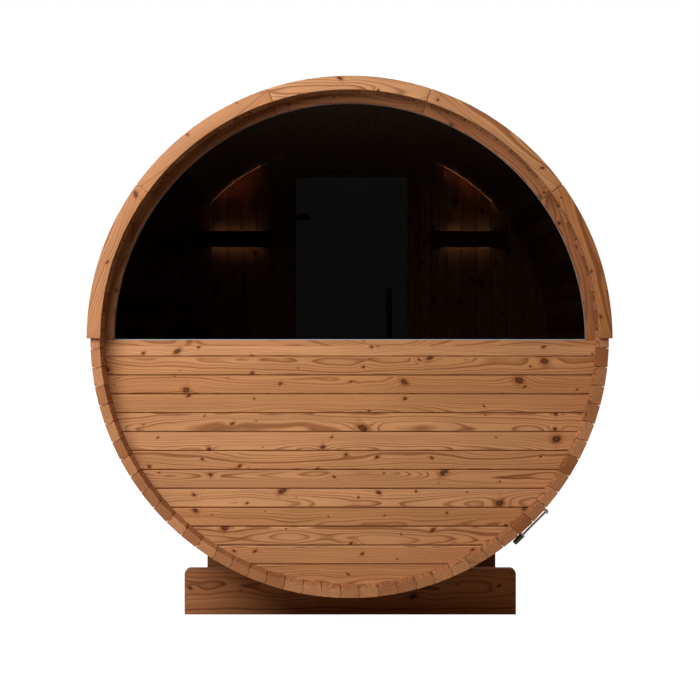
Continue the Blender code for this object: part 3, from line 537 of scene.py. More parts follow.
for panel in range(STAVES // STAVES_IN_PANEL):
    pile = timber()
    for number in range(STAVES_IN_PANEL):
        turn = math.radians(-90) + (STAVES_IN_PANEL * (panel - 0.5) + number + 0.5) * STAVE_TURN
        outward = Vector((math.cos(turn), 0, math.sin(turn)))
        onward = Vector((-math.sin(turn), 0, math.cos(turn)))
        lay(pile, stave, lie((0, 1, 0), onward, AXIS + outward * INNER_CORNER * flat))
    name = f"stave_panel_{panel + 1:02d}"
    finished(name.replace("panel", "boards"), pile, steamed_spruce_shell, "barrel", [name])
stave.free()


# Arch boards: five curved planks over the ends of the staves at each end of the barrel, from the axis up.
# They are sawn to the curve from straight planks, planed, eased along every edge and butted end to end,
# with a loose tongue in each joint, given as its thickness, its distance from the faces and its length.
ARCH_OUTER = 1.0393
ARCH_INNER = 0.9852
ARCH_THICKNESS = 0.022
ARCH_BOARDS = 5
ARCH_EASE = 0.0022
ARCH_JOINT = 0.0024
ARCH_TONGUE = (0.008, 0.003, 0.050)
ARCH_KNOTS = ((0.30, 0.0045, 0.0120, 0.75, 5), (0.12, 0.0016, 0.0058, 0.85, 9))
ARCH_KNOT_BAND = 0.10
ARC_STEP = math.radians(2)
CLOSE_RINGS = 0.0036
STEAMED_SPRUCE_TRIM = ("#c28d60", "#a97042", "#6d3815", "#452009", "#88491e")


def swept(section, radius, sweep):
    """A curved board of a section in radius and depth, in the straight plank that it is sawn from."""
    steps = math.ceil(sweep / ARC_STEP)
    turns = [sweep * (k / steps - 0.5) for k in range(steps + 1)]
    return loft(
        [[(-r * math.sin(a), r * math.cos(a) - radius, d) for r, d in section] for a in turns]
    )


def on_ring(turn, radius, side, depth_place):
    """The placing of a curved board whose middle lies at an angle round the barrel, facing its end."""
    outward = Vector((math.cos(turn), 0, math.sin(turn)))
    onward = Vector((-math.sin(turn), 0, math.cos(turn)))
    return lie(onward * side, outward, AXIS + outward * radius + Vector((0, side * depth_place, 0)))


def put(pile, solid, place):
    """Adds a copy of a solid to a mesh."""
    made = {vertex: pile.verts.new(place @ vertex.co) for vertex in solid.verts}
    for face in solid.faces:
        pile.faces.new([made[v] for v in face.verts])


steamed_spruce_trim = planed_softwood(
    "steamed_spruce_trim", STEAMED_SPRUCE_TRIM, 0.52, CLOSE_RINGS, ARCH_KNOTS, ARCH_KNOT_BAND
)
tongue_thickness, tongue_inset, tongue_length = ARCH_TONGUE
arch_sections = []
for thickness, inset in ((ARCH_THICKNESS, 0.0), (tongue_thickness, tongue_inset)):
    low, high, half = ARCH_INNER + inset, ARCH_OUTER - inset, thickness / 2
    arch_sections.append([(low, -half), (high, -half), (high, half), (low, half)])
sweep = math.pi / ARCH_BOARDS
arch_radius = (ARCH_INNER + ARCH_OUTER) / 2
arch_place = STAVE_LENGTH / 2 + SEAT + ARCH_THICKNESS / 2
loose_tongue = swept(arch_sections[1], arch_radius, tongue_length / arch_radius)
for end, side in (("window", -1), ("door", 1)):
    for number in range(ARCH_BOARDS):
        name = f"{end}_arch_{number + 1}"
        pile = timber()
        board = swept(arch_sections[0], arch_radius, sweep - ARCH_JOINT / arch_radius)
        board = eased(board, ARCH_EASE)
        lay(pile, board, on_ring((number + 0.5) * sweep, arch_radius, side, arch_place))
        board.free()
        if number:
            put(pile, loose_tongue, on_ring(number * sweep, arch_radius, side, arch_place))
        finished(name + "_board", pile, steamed_spruce_trim, "barrel", [name])
loose_tongue.free()


# Window wall: level spruce boards, tongued and grooved, with a bevel along each joint on both faces. They
# are cut to the round and seated in the staves' groove. The top board is a narrow sill with the glass in a
# groove. Bevels are a run and a depth, and the tongue and the glass's groove a length and a width.
SILL_RISE = -0.006
WALL_BOARD = 0.0764
SILL_STRIP = 0.022
FIRST_BOARD = 0.0649
LOW_BEVEL = (0.0040, 0.0050)
HIGH_BEVEL = (0.0055, 0.0036)
BOARD_TONGUE = (0.0075, 0.0056)
TONGUE_SLACK = (0.0005, 0.0002)
BOARD_GAP = 0.0020
SILL_GAP = 0.0002
WALL_ROUND = 0.9998
LAST_BOARD = 0.009
GLASS_GROOVE = (0.010, 0.0086)
PLAIN_EASE = 0.0003
PAST = 0.01
STEAMED_SPRUCE_WALL = ("#cb9566", "#b57e4e", "#773f17", "#47230b", "#8f4f21")


def board_outline(height, tongue=True, groove=True, plain=()):
    """A wall board's section as height and depth, with its tongue up and its groove down.

    Its edges are bevelled, or only eased where plain names them.
    """
    face, half = WALL_THICKNESS / 2, height / 2
    tongue_length, tongue_half = BOARD_TONGUE[0], BOARD_TONGUE[1] / 2
    slot_end, slot_half = tongue_length + TONGUE_SLACK[0] - half, tongue_half + TONGUE_SLACK[1]
    run, deep = (PLAIN_EASE, PLAIN_EASE) if "low" in plain else LOW_BEVEL
    low = [(-half, deep - face), (-half + run, -face)]
    run, deep = (PLAIN_EASE, PLAIN_EASE) if "high" in plain else HIGH_BEVEL
    high = [(half - run, -face), (half, deep - face)]
    points = low + high
    if tongue:
        points += [(half, -tongue_half), (half + tongue_length, -tongue_half)]
        points += [(half + tongue_length, tongue_half), (half, tongue_half)]
    points += [(a, -d) for a, d in reversed(low + high)]
    if groove:
        points += [(-half, slot_half), (slot_end, slot_half), (slot_end, -slot_half), (-half, -slot_half)]
    return points


def round_blank(place):
    """A disc the size of an end wall, in a board's own frame."""
    turns = [(k + 0.5) * STAVE_TURN for k in range(STAVES)]
    ring = [(WALL_ROUND * math.cos(a), WALL_ROUND * math.sin(a)) for a in turns]
    blank = loft([[(x, y, z) for x, z in ring] for y in (-WALL_THICKNESS, WALL_THICKNESS)])
    bmesh.ops.transform(blank, matrix=place, verts=blank.verts)
    return blank


steamed_spruce_wall = planed_softwood("steamed_spruce_boards", STEAMED_SPRUCE_WALL, 0.54, CLOSE_RINGS)
wall_at = Matrix.Translation(AXIS - Vector((0, WALL_PLACE, 0)))
rises = [SILL_RISE, SILL_RISE - SILL_STRIP, SILL_RISE - FIRST_BOARD]
while rises[-1] - WALL_BOARD > -INNER_CORNER + LAST_BOARD:
    rises.append(rises[-1] - WALL_BOARD)
rises.append(-WALL_ROUND)
pile = timber()
plain_edges = {0: ("low", "high"), 1: ("high",)}
for number, (above, below) in enumerate(zip(rises, rises[1:])):
    height = above - below - (BOARD_GAP if number > 1 else SILL_GAP)
    length = 2 * math.sqrt(WALL_ROUND**2 - above**2) + 2 * PAST
    plain = plain_edges.get(number, ())
    board = prism(board_outline(height, number > 1, number > 0, plain), length)
    place = lie((1, 0, 0), (0, 0, 1), wall_at.translation + Vector((0, 0, (above + below) / 2)))
    if number == 0:
        groove_depth, groove_width = GLASS_GROOVE
        low = (-length, height / 2 - groove_depth, -groove_width / 2)
        high = (length, height / 2 + PAST, groove_width / 2)
        board = carved(board, [block(low, high)])
    board = carved(board, [round_blank(place.inverted() @ wall_at)], "INTERSECT")
    lay(pile, board, place)
    board.free()
finished("window_wall_boards", pile, steamed_spruce_wall, "barrel", ["window_wall"])


# Window frame: five curved pieces of planed spruce, butted end to end in the staves' groove above the
# sill, with a groove for the glass that is given as its width and its outer radius.
FRAME_INNER = 0.9527
FRAME_OUTER = 0.9998
FRAME_GROOVE = (0.0086, 0.9633)
FRAME_FOOT = math.radians(0.33)
FRAME_EASE = 0.0015
FRAME_JOINT = 0.0010
# The frame's colours are darker than the arch's and the wall's. This is partly the wood's own tone and
# partly painted shade for the deep recess that the frame sits back in.
SPRUCE_FRAME_PAINTED_SHADE = ("#9c6842", "#865430", "#5c3217", "#381b09", "#6b391c")
spruce_frame_painted_shade = planed_softwood(
    "spruce_frame_painted_shade", SPRUCE_FRAME_PAINTED_SHADE, 0.52, RING_WIDTH, ARCH_KNOTS, ARCH_KNOT_BAND
)
half = WALL_THICKNESS / 2
slot_half = FRAME_GROOVE[0] / 2
frame_section = [
    (FRAME_INNER, -half),
    (FRAME_OUTER, -half),
    (FRAME_OUTER, half),
    (FRAME_INNER, half),
    (FRAME_INNER, slot_half),
    (FRAME_GROOVE[1], slot_half),
    (FRAME_GROOVE[1], -slot_half),
    (FRAME_INNER, -slot_half),
]
frame_radius = (FRAME_INNER + FRAME_OUTER) / 2
for number in range(ARCH_BOARDS):
    start = number * sweep - (FRAME_FOOT if number == 0 else 0)
    end = (number + 1) * sweep + (FRAME_FOOT if number == ARCH_BOARDS - 1 else 0)
    board = swept(frame_section, frame_radius, end - start - FRAME_JOINT / frame_radius)
    board = eased(board, FRAME_EASE)
    pile = timber()
    lay(pile, board, on_ring((start + end) / 2, frame_radius, -1, WALL_PLACE))
    board.free()
    name = f"window_frame_{number + 1}"
    finished(name + "_board", pile, spruce_frame_painted_shade, "barrel", [name])


# Panes: dark grey float glass, 8 mm, in the window and as the door itself. The window is bedded in a thin
# line of pale silicone on both faces. Float glass is flat and glossy and bends light evenly, and its
# tint only dims what is behind it. Light from a lamp passes straight through, dimmed by both faces.
WINDOW_THROUGH = 0.15
DOOR_THROUGH = 0.0255
GLASS_THICKNESS = 0.008
SILL_SEAL = 0.0042
SILL_SEAL_SHORT = 0.0005
ARC_SEAL = 0.0012
ARC_SEAL_STEPS = 90
SEAL_TONE = "#9c9a98"

for name, through in (("window_glass", WINDOW_THROUGH), ("door_glass", DOOR_THROUGH)):
    tint = {"Base Color": (through, through, through, 1.0), "Roughness": 0.0, "Transmission Weight": 1.0}
    tinted_glass, shader = surface(f"tinted_float_{name}", tint)
    tree = tinted_glass.node_tree
    face = math.sqrt(through)
    clear = add(tree, "BsdfTransparent", (face, face, face, 1.0))
    from_lamp = add(tree, "LightPath").outputs["Is Shadow Ray"]
    mixed = add(tree, "MixShader", from_lamp, shader, clear)
    tree.links.new(mixed.outputs[0], tree.nodes["Material Output"].inputs["Surface"])
    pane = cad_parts[name]
    pane.data.materials.clear()
    pane.data.materials.append(tinted_glass)

# Tooled silicone is a little shiny and evenly grey.
silicone = surface("grey_silicone_seal", {"Base Color": linear(SEAL_TONE), "Roughness": 0.35})[0]
half_sill = FRAME_INNER - SILL_SEAL_SHORT
arc = [math.pi * k / ARC_SEAL_STEPS for k in range(ARC_SEAL_STEPS + 1)]
pile = bmesh.new()
for face in (-1, 1):
    y = -WALL_PLACE + face * GLASS_THICKNESS / 2
    out = y + face * SILL_SEAL
    corners = [(FRAME_INNER, out), (FRAME_INNER, y), (FRAME_INNER - ARC_SEAL, y)]
    arc_seal = loft([[(r * math.cos(a), d, r * math.sin(a)) for r, d in corners] for a in arc])
    corners = [(out, SILL_RISE), (y, SILL_RISE), (y, SILL_RISE + SILL_SEAL)]
    sill_seal = loft([[(x, d, z) for d, z in corners] for x in (-half_sill, half_sill)])
    for seal in (arc_seal, sill_seal):
        put(pile, seal, Matrix.Translation(AXIS))
        seal.free()
finished("window_seal", pile, silicone, "barrel")


# Door wall: upright boards like the window wall's, beside, over and under the doorway, in the groove at
# the staves' other end. The boards beside the doorway start with one that is ripped narrower.
DOORWAY_EDGE = 0.342
FIRST_SIDE_BOARD = 0.78
HEAD_TOP = 0.905
THRESHOLD_BOTTOM = -0.890
door_wall_at = Matrix.Translation(AXIS + Vector((0, WALL_PLACE, 0)))
side_edges = [DOORWAY_EDGE + SEAT, DOORWAY_EDGE + FIRST_SIDE_BOARD * WALL_BOARD]
while side_edges[-1] + WALL_BOARD < WALL_ROUND:
    side_edges.append(side_edges[-1] + WALL_BOARD)
side_edges.append(WALL_ROUND)
joints = [(k + 0.5) * WALL_BOARD for k in range(-4, 4)]
inner_edges = [-DOORWAY_EDGE + SEAT, *joints, DOORWAY_EDGE - SEAT]
wall_parts = (
    ("door_wall_left", [-e for e in reversed(side_edges)], -WALL_ROUND, WALL_ROUND),
    ("door_wall_right", side_edges, -WALL_ROUND, WALL_ROUND),
    ("door_wall_over", inner_edges, HEAD_TOP + SEAT, WALL_ROUND + PAST),
    ("door_wall_under", inner_edges, -WALL_ROUND - PAST, THRESHOLD_BOTTOM - SEAT),
)
for name, edges, low, high in wall_parts:
    pile = timber()
    for near, far in zip(edges, edges[1:]):
        outline = board_outline(far - near - BOARD_GAP, far != edges[-1], near != edges[0])
        board = prism(outline, high - low)
        middle = Vector(((near + far) / 2, 0, (low + high) / 2))
        place = lie((0, 0, 1), (1, 0, 0), door_wall_at.translation + middle)
        board = carved(board, [round_blank(place.inverted() @ door_wall_at)], "INTERSECT")
        lay(pile, board, place)
        board.free()
    finished(name + "_boards", pile, steamed_spruce_wall, "barrel", [name])


# Door frame: two planed jambs between a head and a threshold, dowelled together and set in the door
# wall. Jambs and head are rebated on the outside, where the glass closes against them.
DOORWAY_HALF = 0.282
REBATE_HALF = 0.297
FRAME_FACES = (0.876, 0.936)
REBATE_FACE = 0.923
HEAD_BOTTOM = 0.823
REBATE_TOP = 0.838
THRESHOLD_TOP = -0.845
JAMB_EASE = 0.002
frame_middle = sum(FRAME_FACES) / 2
frame_half = (FRAME_FACES[1] - FRAME_FACES[0]) / 2
jamb_half = (DOORWAY_EDGE - DOORWAY_HALF) / 2
jamb_centre = (DOORWAY_EDGE + DOORWAY_HALF) / 2
rebate = (REBATE_HALF - jamb_centre, REBATE_FACE - frame_middle)
for name, side in (("door_jamb_left", -1), ("door_jamb_right", 1)):
    outline = [
        (-jamb_half, -frame_half),
        (jamb_half, -frame_half),
        (jamb_half, frame_half),
        (rebate[0], frame_half),
        rebate,
        (-jamb_half, rebate[1]),
    ]
    outline = [(side * across, depth) for across, depth in outline]
    board = eased(prism(outline, HEAD_BOTTOM - THRESHOLD_TOP - 2 * SEAT), JAMB_EASE)
    pile = timber()
    middle = Vector((side * jamb_centre, frame_middle, (HEAD_BOTTOM + THRESHOLD_TOP) / 2))
    lay(pile, board, lie((0, 0, 1), (1, 0, 0), AXIS + middle))
    board.free()
    finished(name + "_post", pile, steamed_spruce_trim, "barrel", [name])
for name, low, high in (
    ("door_head", HEAD_BOTTOM, HEAD_TOP),
    ("door_threshold", THRESHOLD_BOTTOM, THRESHOLD_TOP),
):
    middle = (low + high) / 2
    half = (high - low) / 2
    board = block((-DOORWAY_EDGE, -half, -frame_half), (DOORWAY_EDGE, half, frame_half))
    if name == "door_head":
        cut_low = (-REBATE_HALF, -half - PAST, REBATE_FACE - frame_middle)
        cut_high = (REBATE_HALF, REBATE_TOP - middle, frame_half + PAST)
        board = carved(board, [block(cut_low, cut_high)])
    board = eased(board, JAMB_EASE)
    pile = timber()
    lay(pile, board, lie((-1, 0, 0), (0, 0, 1), AXIS + Vector((0, frame_middle, middle))))
    board.free()
    finished(name + "_rail", pile, steamed_spruce_trim, "barrel", [name])


# Hinges: cast leaves and clamps in black powder coat, with low screws into the jamb and two domed screws
# through each clamp's lobes and the glass. Screws give the head's radius and height, the share of it that
# is flat on top, and the radius and depth of the hexagon socket.
HINGE_RISES = (0.623, -0.630)
LOBES = (-0.260, -0.225)
HINGE_EASE = 0.0007
LEAF_FACE = 0.9423
LEAF_SCREWS = ((-0.3235, 0.021), (-0.3235, -0.021))
CLAMP_FACES = (0.9418, 0.9222)
LEAF_SCREW = (0.0042, 0.0016, 0.6, 0.0018, 0.0012)
CLAMP_SCREW = (0.0075, 0.0032, 0.55, 0.0032, 0.0022)
BLACK_COAT = "#1b1b1c"
COAT_GRAINS = 900.0

# Powder coat melts to a satin skin with a fine orange peel, about a millimetre from grain to grain.
powder_coat, shader = surface("black_powder_coat", {"Base Color": linear(BLACK_COAT)})
tree = powder_coat.node_tree
grit = add(tree, "TexNoise", add(tree, "TexCoord").outputs["Object"], COAT_GRAINS, 3.0, 0.6)
gloss = add(tree, "MapRange", grit.outputs["Fac"], 0.3, 0.7, 0.40, 0.56)
tree.links.new(gloss.outputs[0], shader.inputs["Roughness"])
relief = add(tree, "Bump")
relief.inputs["Strength"].default_value = 0.25
relief.inputs["Distance"].default_value = 0.0002
tree.links.new(grit.outputs["Fac"], relief.inputs["Height"])
tree.links.new(relief.outputs["Normal"], shader.inputs["Normal"])

for place_name in ("upper", "lower"):
    for half_name in ("leaf", "clamp"):
        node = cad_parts[f"{place_name}_hinge_{half_name}"]
        node.data.materials.clear()
        node.data.materials.append(powder_coat)
        ease = node.modifiers.new("eased", "BEVEL")
        ease.width = HINGE_EASE
        ease.segments = 2
        ease.limit_method = "ANGLE"
        ease.angle_limit = math.radians(40)
        ease.harden_normals = True


def turned(profile, sides=40):
    """A solid turned about Z from radius and height points that start and end on the axis."""
    solid = bmesh.new()
    start = solid.verts.new((0, 0, profile[0][1]))
    finish = solid.verts.new((0, 0, profile[-1][1]))
    turns = [2 * math.pi * k / sides for k in range(sides)]
    rings = [
        [solid.verts.new((r * math.cos(a), r * math.sin(a), z)) for a in turns]
        for r, z in profile[1:-1]
    ]
    for i in range(sides):
        j = (i + 1) % sides
        solid.faces.new((start, rings[0][j], rings[0][i]))
        solid.faces.new((finish, rings[-1][i], rings[-1][j]))
        for near, far in zip(rings, rings[1:]):
            solid.faces.new((near[i], near[j], far[j], far[i]))
    bmesh.ops.recalc_face_normals(solid, faces=solid.faces)
    return solid


def facing(direction, where):
    """The placing of a turned piece whose axis points a way."""
    return Matrix.Translation(where) @ Vector(direction).to_track_quat("Z", "Y").to_matrix().to_4x4()


def socket_screw(head, height, dome, socket, deep):
    """A screw's head with an inner hexagon, its seat at height 0."""
    profile = [(0, 0), (head, 0), (head, height * 0.35), (head * 0.96, height * 0.62)]
    profile += [(head * 0.82, height * 0.86), (head * dome, height), (0, height)]
    solid = turned(profile, 32)
    hexagon = [(socket * math.cos(math.pi * k / 3), socket * math.sin(math.pi * k / 3)) for k in range(6)]
    recess = loft([[(x, y, z) for x, y in hexagon] for z in (height - deep, height + PAST)])
    return carved(solid, [recess])


leaf_screw = socket_screw(*LEAF_SCREW)
pile = bmesh.new()
for rise in HINGE_RISES:
    for x, up in LEAF_SCREWS:
        put(pile, leaf_screw, facing((0, 1, 0), AXIS + Vector((x, LEAF_FACE, rise + up))))
finished("hinge_leaf_screws", pile, powder_coat, "barrel")
clamp_screw = socket_screw(*CLAMP_SCREW)
pile = bmesh.new()
for rise in HINGE_RISES:
    for x in LOBES:
        for y, face in zip(CLAMP_FACES, (1, -1)):
            put(pile, clamp_screw, facing((0, face, 0), AXIS + Vector((x, y, rise))))
finished("hinge_clamp_screws", pile, powder_coat, "door")


# Handle: a round bar of black enamelled steel on each face of the glass, its ends rounded over. Two posts
# through the glass join the bars, each with a rose on the face of the glass and a stud inside.
HANDLE_X = 0.1897
HANDLE_RANGE = (-0.189, 0.261)
HANDLE_RADIUS = 0.0145
HANDLE_BARS = (0.986, 0.878)
HANDLE_ROUNDING = 0.003
POST_RISES = (0.206, -0.134)
POST_RADIUS = 0.008
ROSE_RADIUS = 0.014
ROSE_HEIGHT = 0.004
ROSE_BEVEL = 0.001
STUD = (0.0078, 0.006)
DOOR_FACES = (0.936, 0.928)

low, high = HANDLE_RANGE
rounded = []
for step in range(5):
    turn = math.pi / 2 * step / 4
    inward, onward = 1 - math.sin(turn), 1 - math.cos(turn)
    rounded.append((HANDLE_RADIUS - HANDLE_ROUNDING * inward, HANDLE_ROUNDING * onward))
profile = [(0, low)] + [(r, low + z) for r, z in rounded]
profile += [(r, high - z) for r, z in reversed(rounded)] + [(0, high)]
bar = turned(profile, 56)
pile = bmesh.new()
for y in HANDLE_BARS:
    put(pile, bar, Matrix.Translation(AXIS + Vector((HANDLE_X, y, 0))))
for y, face, seat in ((HANDLE_BARS[0], -1, DOOR_FACES[0]), (HANDLE_BARS[1], 1, DOOR_FACES[1])):
    reach = abs(y - seat) - SEAT
    rose = reach - ROSE_HEIGHT
    profile = [(0, 0), (POST_RADIUS, 0), (POST_RADIUS, rose), (ROSE_RADIUS - ROSE_BEVEL, rose)]
    profile += [(ROSE_RADIUS, rose + ROSE_BEVEL), (ROSE_RADIUS, reach), (0, reach)]
    post = turned(profile)
    for rise in POST_RISES:
        put(pile, post, facing((0, face, 0), AXIS + Vector((HANDLE_X, y, rise))))
stud_radius, stud_half = STUD
stud = turned([(0, -stud_half), (stud_radius, -stud_half), (stud_radius, stud_half), (0, stud_half)])
for rise in POST_RISES:
    put(pile, stud, facing((0, 1, 0), AXIS + Vector((HANDLE_X, sum(DOOR_FACES) / 2, rise))))

# Stoved enamel lies smooth and glassy over the steel, so it shows clean highlights.
enamel = {"Base Color": linear(BLACK_COAT), "Roughness": 0.22, "Coat Weight": 1.0, "Coat Roughness": 0.08}
black_enamel = surface("black_enamelled_steel", enamel)[0]
finished("door_handle_bars", pile, black_enamel, "door", ["door_handle"])


# Lamps: a box of planed boards on each side of the door, open above and below, round two thin warm tubes
# whose ends sit in a cleat at each side. What leaves a lamp at the top lies in a narrow sheet and draws a
# bright arc on the staves. Tubes are half a length and a radius, and the sheet is a length and a width.
LAMP_CENTRE = 0.5834
LAMP_HALF = 0.180
LAMP_RANGE = (0.4645, 0.5455)
LAMP_DEPTHS = (0.8177, 0.8837)
LAMP_BOARD = 0.014
LAMP_FIT = 0.0004
LAMP_EASE = 0.0012
LAMP_CLEAT = 0.038
CLEAT_SHORT = 0.004
TUBE = (0.122, 0.004)
TUBE_RISE = 0.020
TUBE_WHITE = "#f4ead8"
TUBE_TINT = "#fff4ea"
TUBE_GLOW = 5.2
BEAM_SIDES = (0.24, 0.012)
BEAM_RISE = 0.006
BEAM_SPREAD = 7
BEAM_POWER = 0.15
STEAMED_SPRUCE_LAMP = ("#8a5c3c", "#70452a", "#4c2a16", "#2c140a", "#5a301c")
steamed_spruce_lamp = planed_softwood("steamed_spruce_lamp_boards", STEAMED_SPRUCE_LAMP)

# Opal glass tube: evenly bright along its length.
tube_light = {"Base Color": linear(TUBE_WHITE), "Emission Color": linear(TUBE_TINT)}
tube_light["Emission Strength"] = TUBE_GLOW
lamp_light = surface("warm_lamp_tube", tube_light)[0]
lamp_middle = sum(LAMP_RANGE) / 2
lamp_height = LAMP_RANGE[1] - LAMP_RANGE[0]
front, back = LAMP_DEPTHS
depth = back - front - LAMP_BOARD - LAMP_FIT
tube_half, tube_radius = TUBE
tube = turned([(0, -tube_half), (tube_radius, -tube_half), (tube_radius, tube_half), (0, tube_half)], 16)
for name, side in (("left", -1), ("right", 1)):
    pile = timber()
    corner = Vector((LAMP_HALF, lamp_height / 2, LAMP_BOARD / 2))
    board = eased(block(-corner, corner), LAMP_EASE)
    where = AXIS + Vector((side * LAMP_CENTRE, front + LAMP_BOARD / 2, lamp_middle))
    lay(pile, board, lie((1, 0, 0), (0, 0, 1), where), 0.5)
    board.free()
    end_board = (lamp_height, LAMP_BOARD, LAMP_HALF, LAMP_EASE)
    cleat = (lamp_height - CLEAT_SHORT, LAMP_CLEAT, LAMP_HALF - LAMP_BOARD, None)
    for length, thickness, outside, ease in (end_board, cleat):
        corner = Vector((length / 2, depth / 2, thickness / 2))
        board = block(-corner, corner)
        if ease:
            board = eased(board, ease)
        for end in (-1, 1):
            x = side * LAMP_CENTRE + end * (outside - thickness / 2)
            where = AXIS + Vector((x, back - depth / 2, lamp_middle))
            lay(pile, board, lie((0, 0, 1), (0, 1, 0), where), 0.5)
        board.free()
    node = f"lamp_shade_{name}"
    finished(node + "_boards", pile, steamed_spruce_lamp, "barrel", [node])
    where = AXIS + Vector((side * LAMP_CENTRE, (front + LAMP_BOARD + back) / 2, lamp_middle))
    pile = bmesh.new()
    for rise in (-TUBE_RISE, TUBE_RISE):
        put(pile, tube, facing((1, 0, 0), where + Vector((0, 0, rise))))
    finished(f"lamp_tubes_{name}", pile, lamp_light, "barrel")
    beam_data = bpy.data.lights.new(f"lamp_beam_{name}", "AREA")
    beam_data.shape = "RECTANGLE"
    beam_data.size, beam_data.size_y = BEAM_SIDES
    beam_data.spread = math.radians(BEAM_SPREAD)
    beam_data.energy = BEAM_POWER
    beam_data.color = linear(TUBE_TINT)[:3]
    beam = bpy.data.objects.new(f"lamp_beam_{name}", beam_data)
    beam.location = where + Vector((0, 0, TUBE_RISE + BEAM_RISE))
    beam.rotation_euler = (math.pi, 0, 0)
    bpy.context.scene.collection.objects.link(beam)
tube.free()


# Floor: nine slats along the barrel, planed and well rounded, each screwed at both edges to three bearers
# that are cut to the curve of the staves. The screw is given as in the hinges, and sunk a little.
FLOOR_TOP = -0.860
SLAT = (0.086, 0.022)
SLAT_PITCH = 0.096
SLATS = 9
SLAT_HALF_LENGTH = 0.872
SLAT_EASE = 0.003
BEARER_WIDTH = 0.045
BEARER_PLACES = (-0.732, 0.0, 0.732)
FLOOR_SCREW = (0.0036, 0.0012, 0.7, 0.0016, 0.0009)
SCREW_INSET = 0.020
SCREW_SUNK = 0.0008
STAINLESS = "#c9c7c4"
STEAMED_SPRUCE_FLOOR = ("#b07b51", "#946039", "#6d4024", "#38190c", "#7a4627")
steamed_spruce_floor = planed_softwood("steamed_spruce_slats", STEAMED_SPRUCE_FLOOR, 0.60)
slat_width, slat_thickness = SLAT
corner = Vector((SLAT_HALF_LENGTH, slat_width / 2, slat_thickness / 2))
board = eased(block(-corner, corner), SLAT_EASE)
slat_xs = [(k - (SLATS - 1) / 2) * SLAT_PITCH for k in range(SLATS)]
pile = timber()
for x in slat_xs:
    where = AXIS + Vector((x, 0, FLOOR_TOP - slat_thickness / 2))
    lay(pile, board, lie((0, 1, 0), (-1, 0, 0), where))
board.free()
bearer_top = FLOOR_TOP - slat_thickness
seat_radius = INNER_CORNER * flat - SEAT
half_chord = math.sqrt(seat_radius**2 - bearer_top**2)
reach = math.atan2(half_chord, -bearer_top)
turns = [reach * (k / 12 - 1) for k in range(25)]
outline = [(seat_radius * math.sin(a), -seat_radius * math.cos(a)) for a in turns]
depth = BEARER_WIDTH / 2
board = loft([[(x, z - bearer_top, y) for x, z in outline] for y in (-depth, depth)])
for y in BEARER_PLACES:
    lay(pile, board, lie((1, 0, 0), (0, 0, 1), AXIS + Vector((0, y, bearer_top))))
board.free()
finished("floor_deck_boards", pile, steamed_spruce_floor, "barrel", ["floor_deck"])

# Turned stainless steel: a plain satin shine.
steel = {"Base Color": linear(STAINLESS), "Metallic": 1.0, "Roughness": 0.30}
stainless = surface("stainless_steel_screws", steel)[0]
floor_screw = socket_screw(*FLOOR_SCREW)
pile = bmesh.new()
for x in slat_xs:
    for y in BEARER_PLACES:
        for side in (-1, 1):
            across = x + side * (slat_width / 2 - SCREW_INSET)
            where = AXIS + Vector((across, y, FLOOR_TOP - SCREW_SUNK))
            put(pile, floor_screw, Matrix.Translation(where))
finished("floor_screws", pile, stainless, "barrel")


# Ridge batten: a thin planed board of spruce, fixed along the room under the topmost staves, with its
# long edges eased.
BATTEN = (0.070, 0.0115)
BATTEN_EASE = 0.002
BATTEN_HALF_LENGTH = 0.8837
batten_width, batten_thickness = BATTEN
corner = Vector((BATTEN_HALF_LENGTH, batten_width / 2, batten_thickness / 2))
board = eased(block(-corner, corner), BATTEN_EASE)
where = AXIS + Vector((0, 0, INNER_CORNER * flat - SEAT - batten_thickness / 2))
pile = timber()
lay(pile, board, lie((0, 1, 0), (1, 0, 0), where))
board.free()
finished("ceiling_batten_board", pile, steamed_spruce_trim, "barrel", ["ceiling_batten"])


# Cradles: two thick planks of darker stained spruce on edge, sawn to the curve of the staves, with their
# shoulders rounded and their edges eased. The barrel lies in them by its own weight.
CRADLE_HALF = 0.70
CRADLE_HEIGHT = 0.192
CRADLE_THICKNESS = 0.070
CRADLE_PLACE = 0.565
CRADLE_CORNER = 0.020
CRADLE_SEAT = 1.0284
CRADLE_EASE = 0.003
STAINED_SPRUCE_CRADLE = ("#b87a4c", "#9a5f35", "#6c3e20", "#391d10", "#7b462c")
stained_spruce_cradle = planed_softwood("stained_spruce_cradles", STAINED_SPRUCE_CRADLE, 0.60)
top = CRADLE_HEIGHT - AXIS.z
half_seat = math.sqrt(CRADLE_SEAT**2 - top**2)
reach = math.atan2(half_seat, -top)
turns = [reach * (k / 24 - 1) for k in range(49)]
outline = [(CRADLE_SEAT * math.sin(a), -CRADLE_SEAT * math.cos(a) + AXIS.z) for a in turns]
shoulder = [math.pi / 2 * (1 - k / 6) for k in range(7)]
centre_x, centre_z = CRADLE_HALF - CRADLE_CORNER, CRADLE_HEIGHT - CRADLE_CORNER
corner = [(centre_x + CRADLE_CORNER * math.cos(a), centre_z + CRADLE_CORNER * math.sin(a)) for a in shoulder]
outline += corner + [(CRADLE_HALF, 0), (-CRADLE_HALF, 0)]
outline += [(-x, z) for x, z in reversed(corner)]
middle = CRADLE_HEIGHT / 2
depth = CRADLE_THICKNESS / 2
for name, side in (("window_cradle", -1), ("door_cradle", 1)):
    board = loft([[(x * side, z - middle, y) for x, z in outline] for y in (-depth, depth)])
    board = eased(board, CRADLE_EASE, 3)
    pile = timber()
    lay(pile, board, lie((-side, 0, 0), (0, 0, 1), Vector((0, side * CRADLE_PLACE, middle))))
    board.free()
    finished(name + "_beam", pile, stained_spruce_cradle, "barrel", [name])


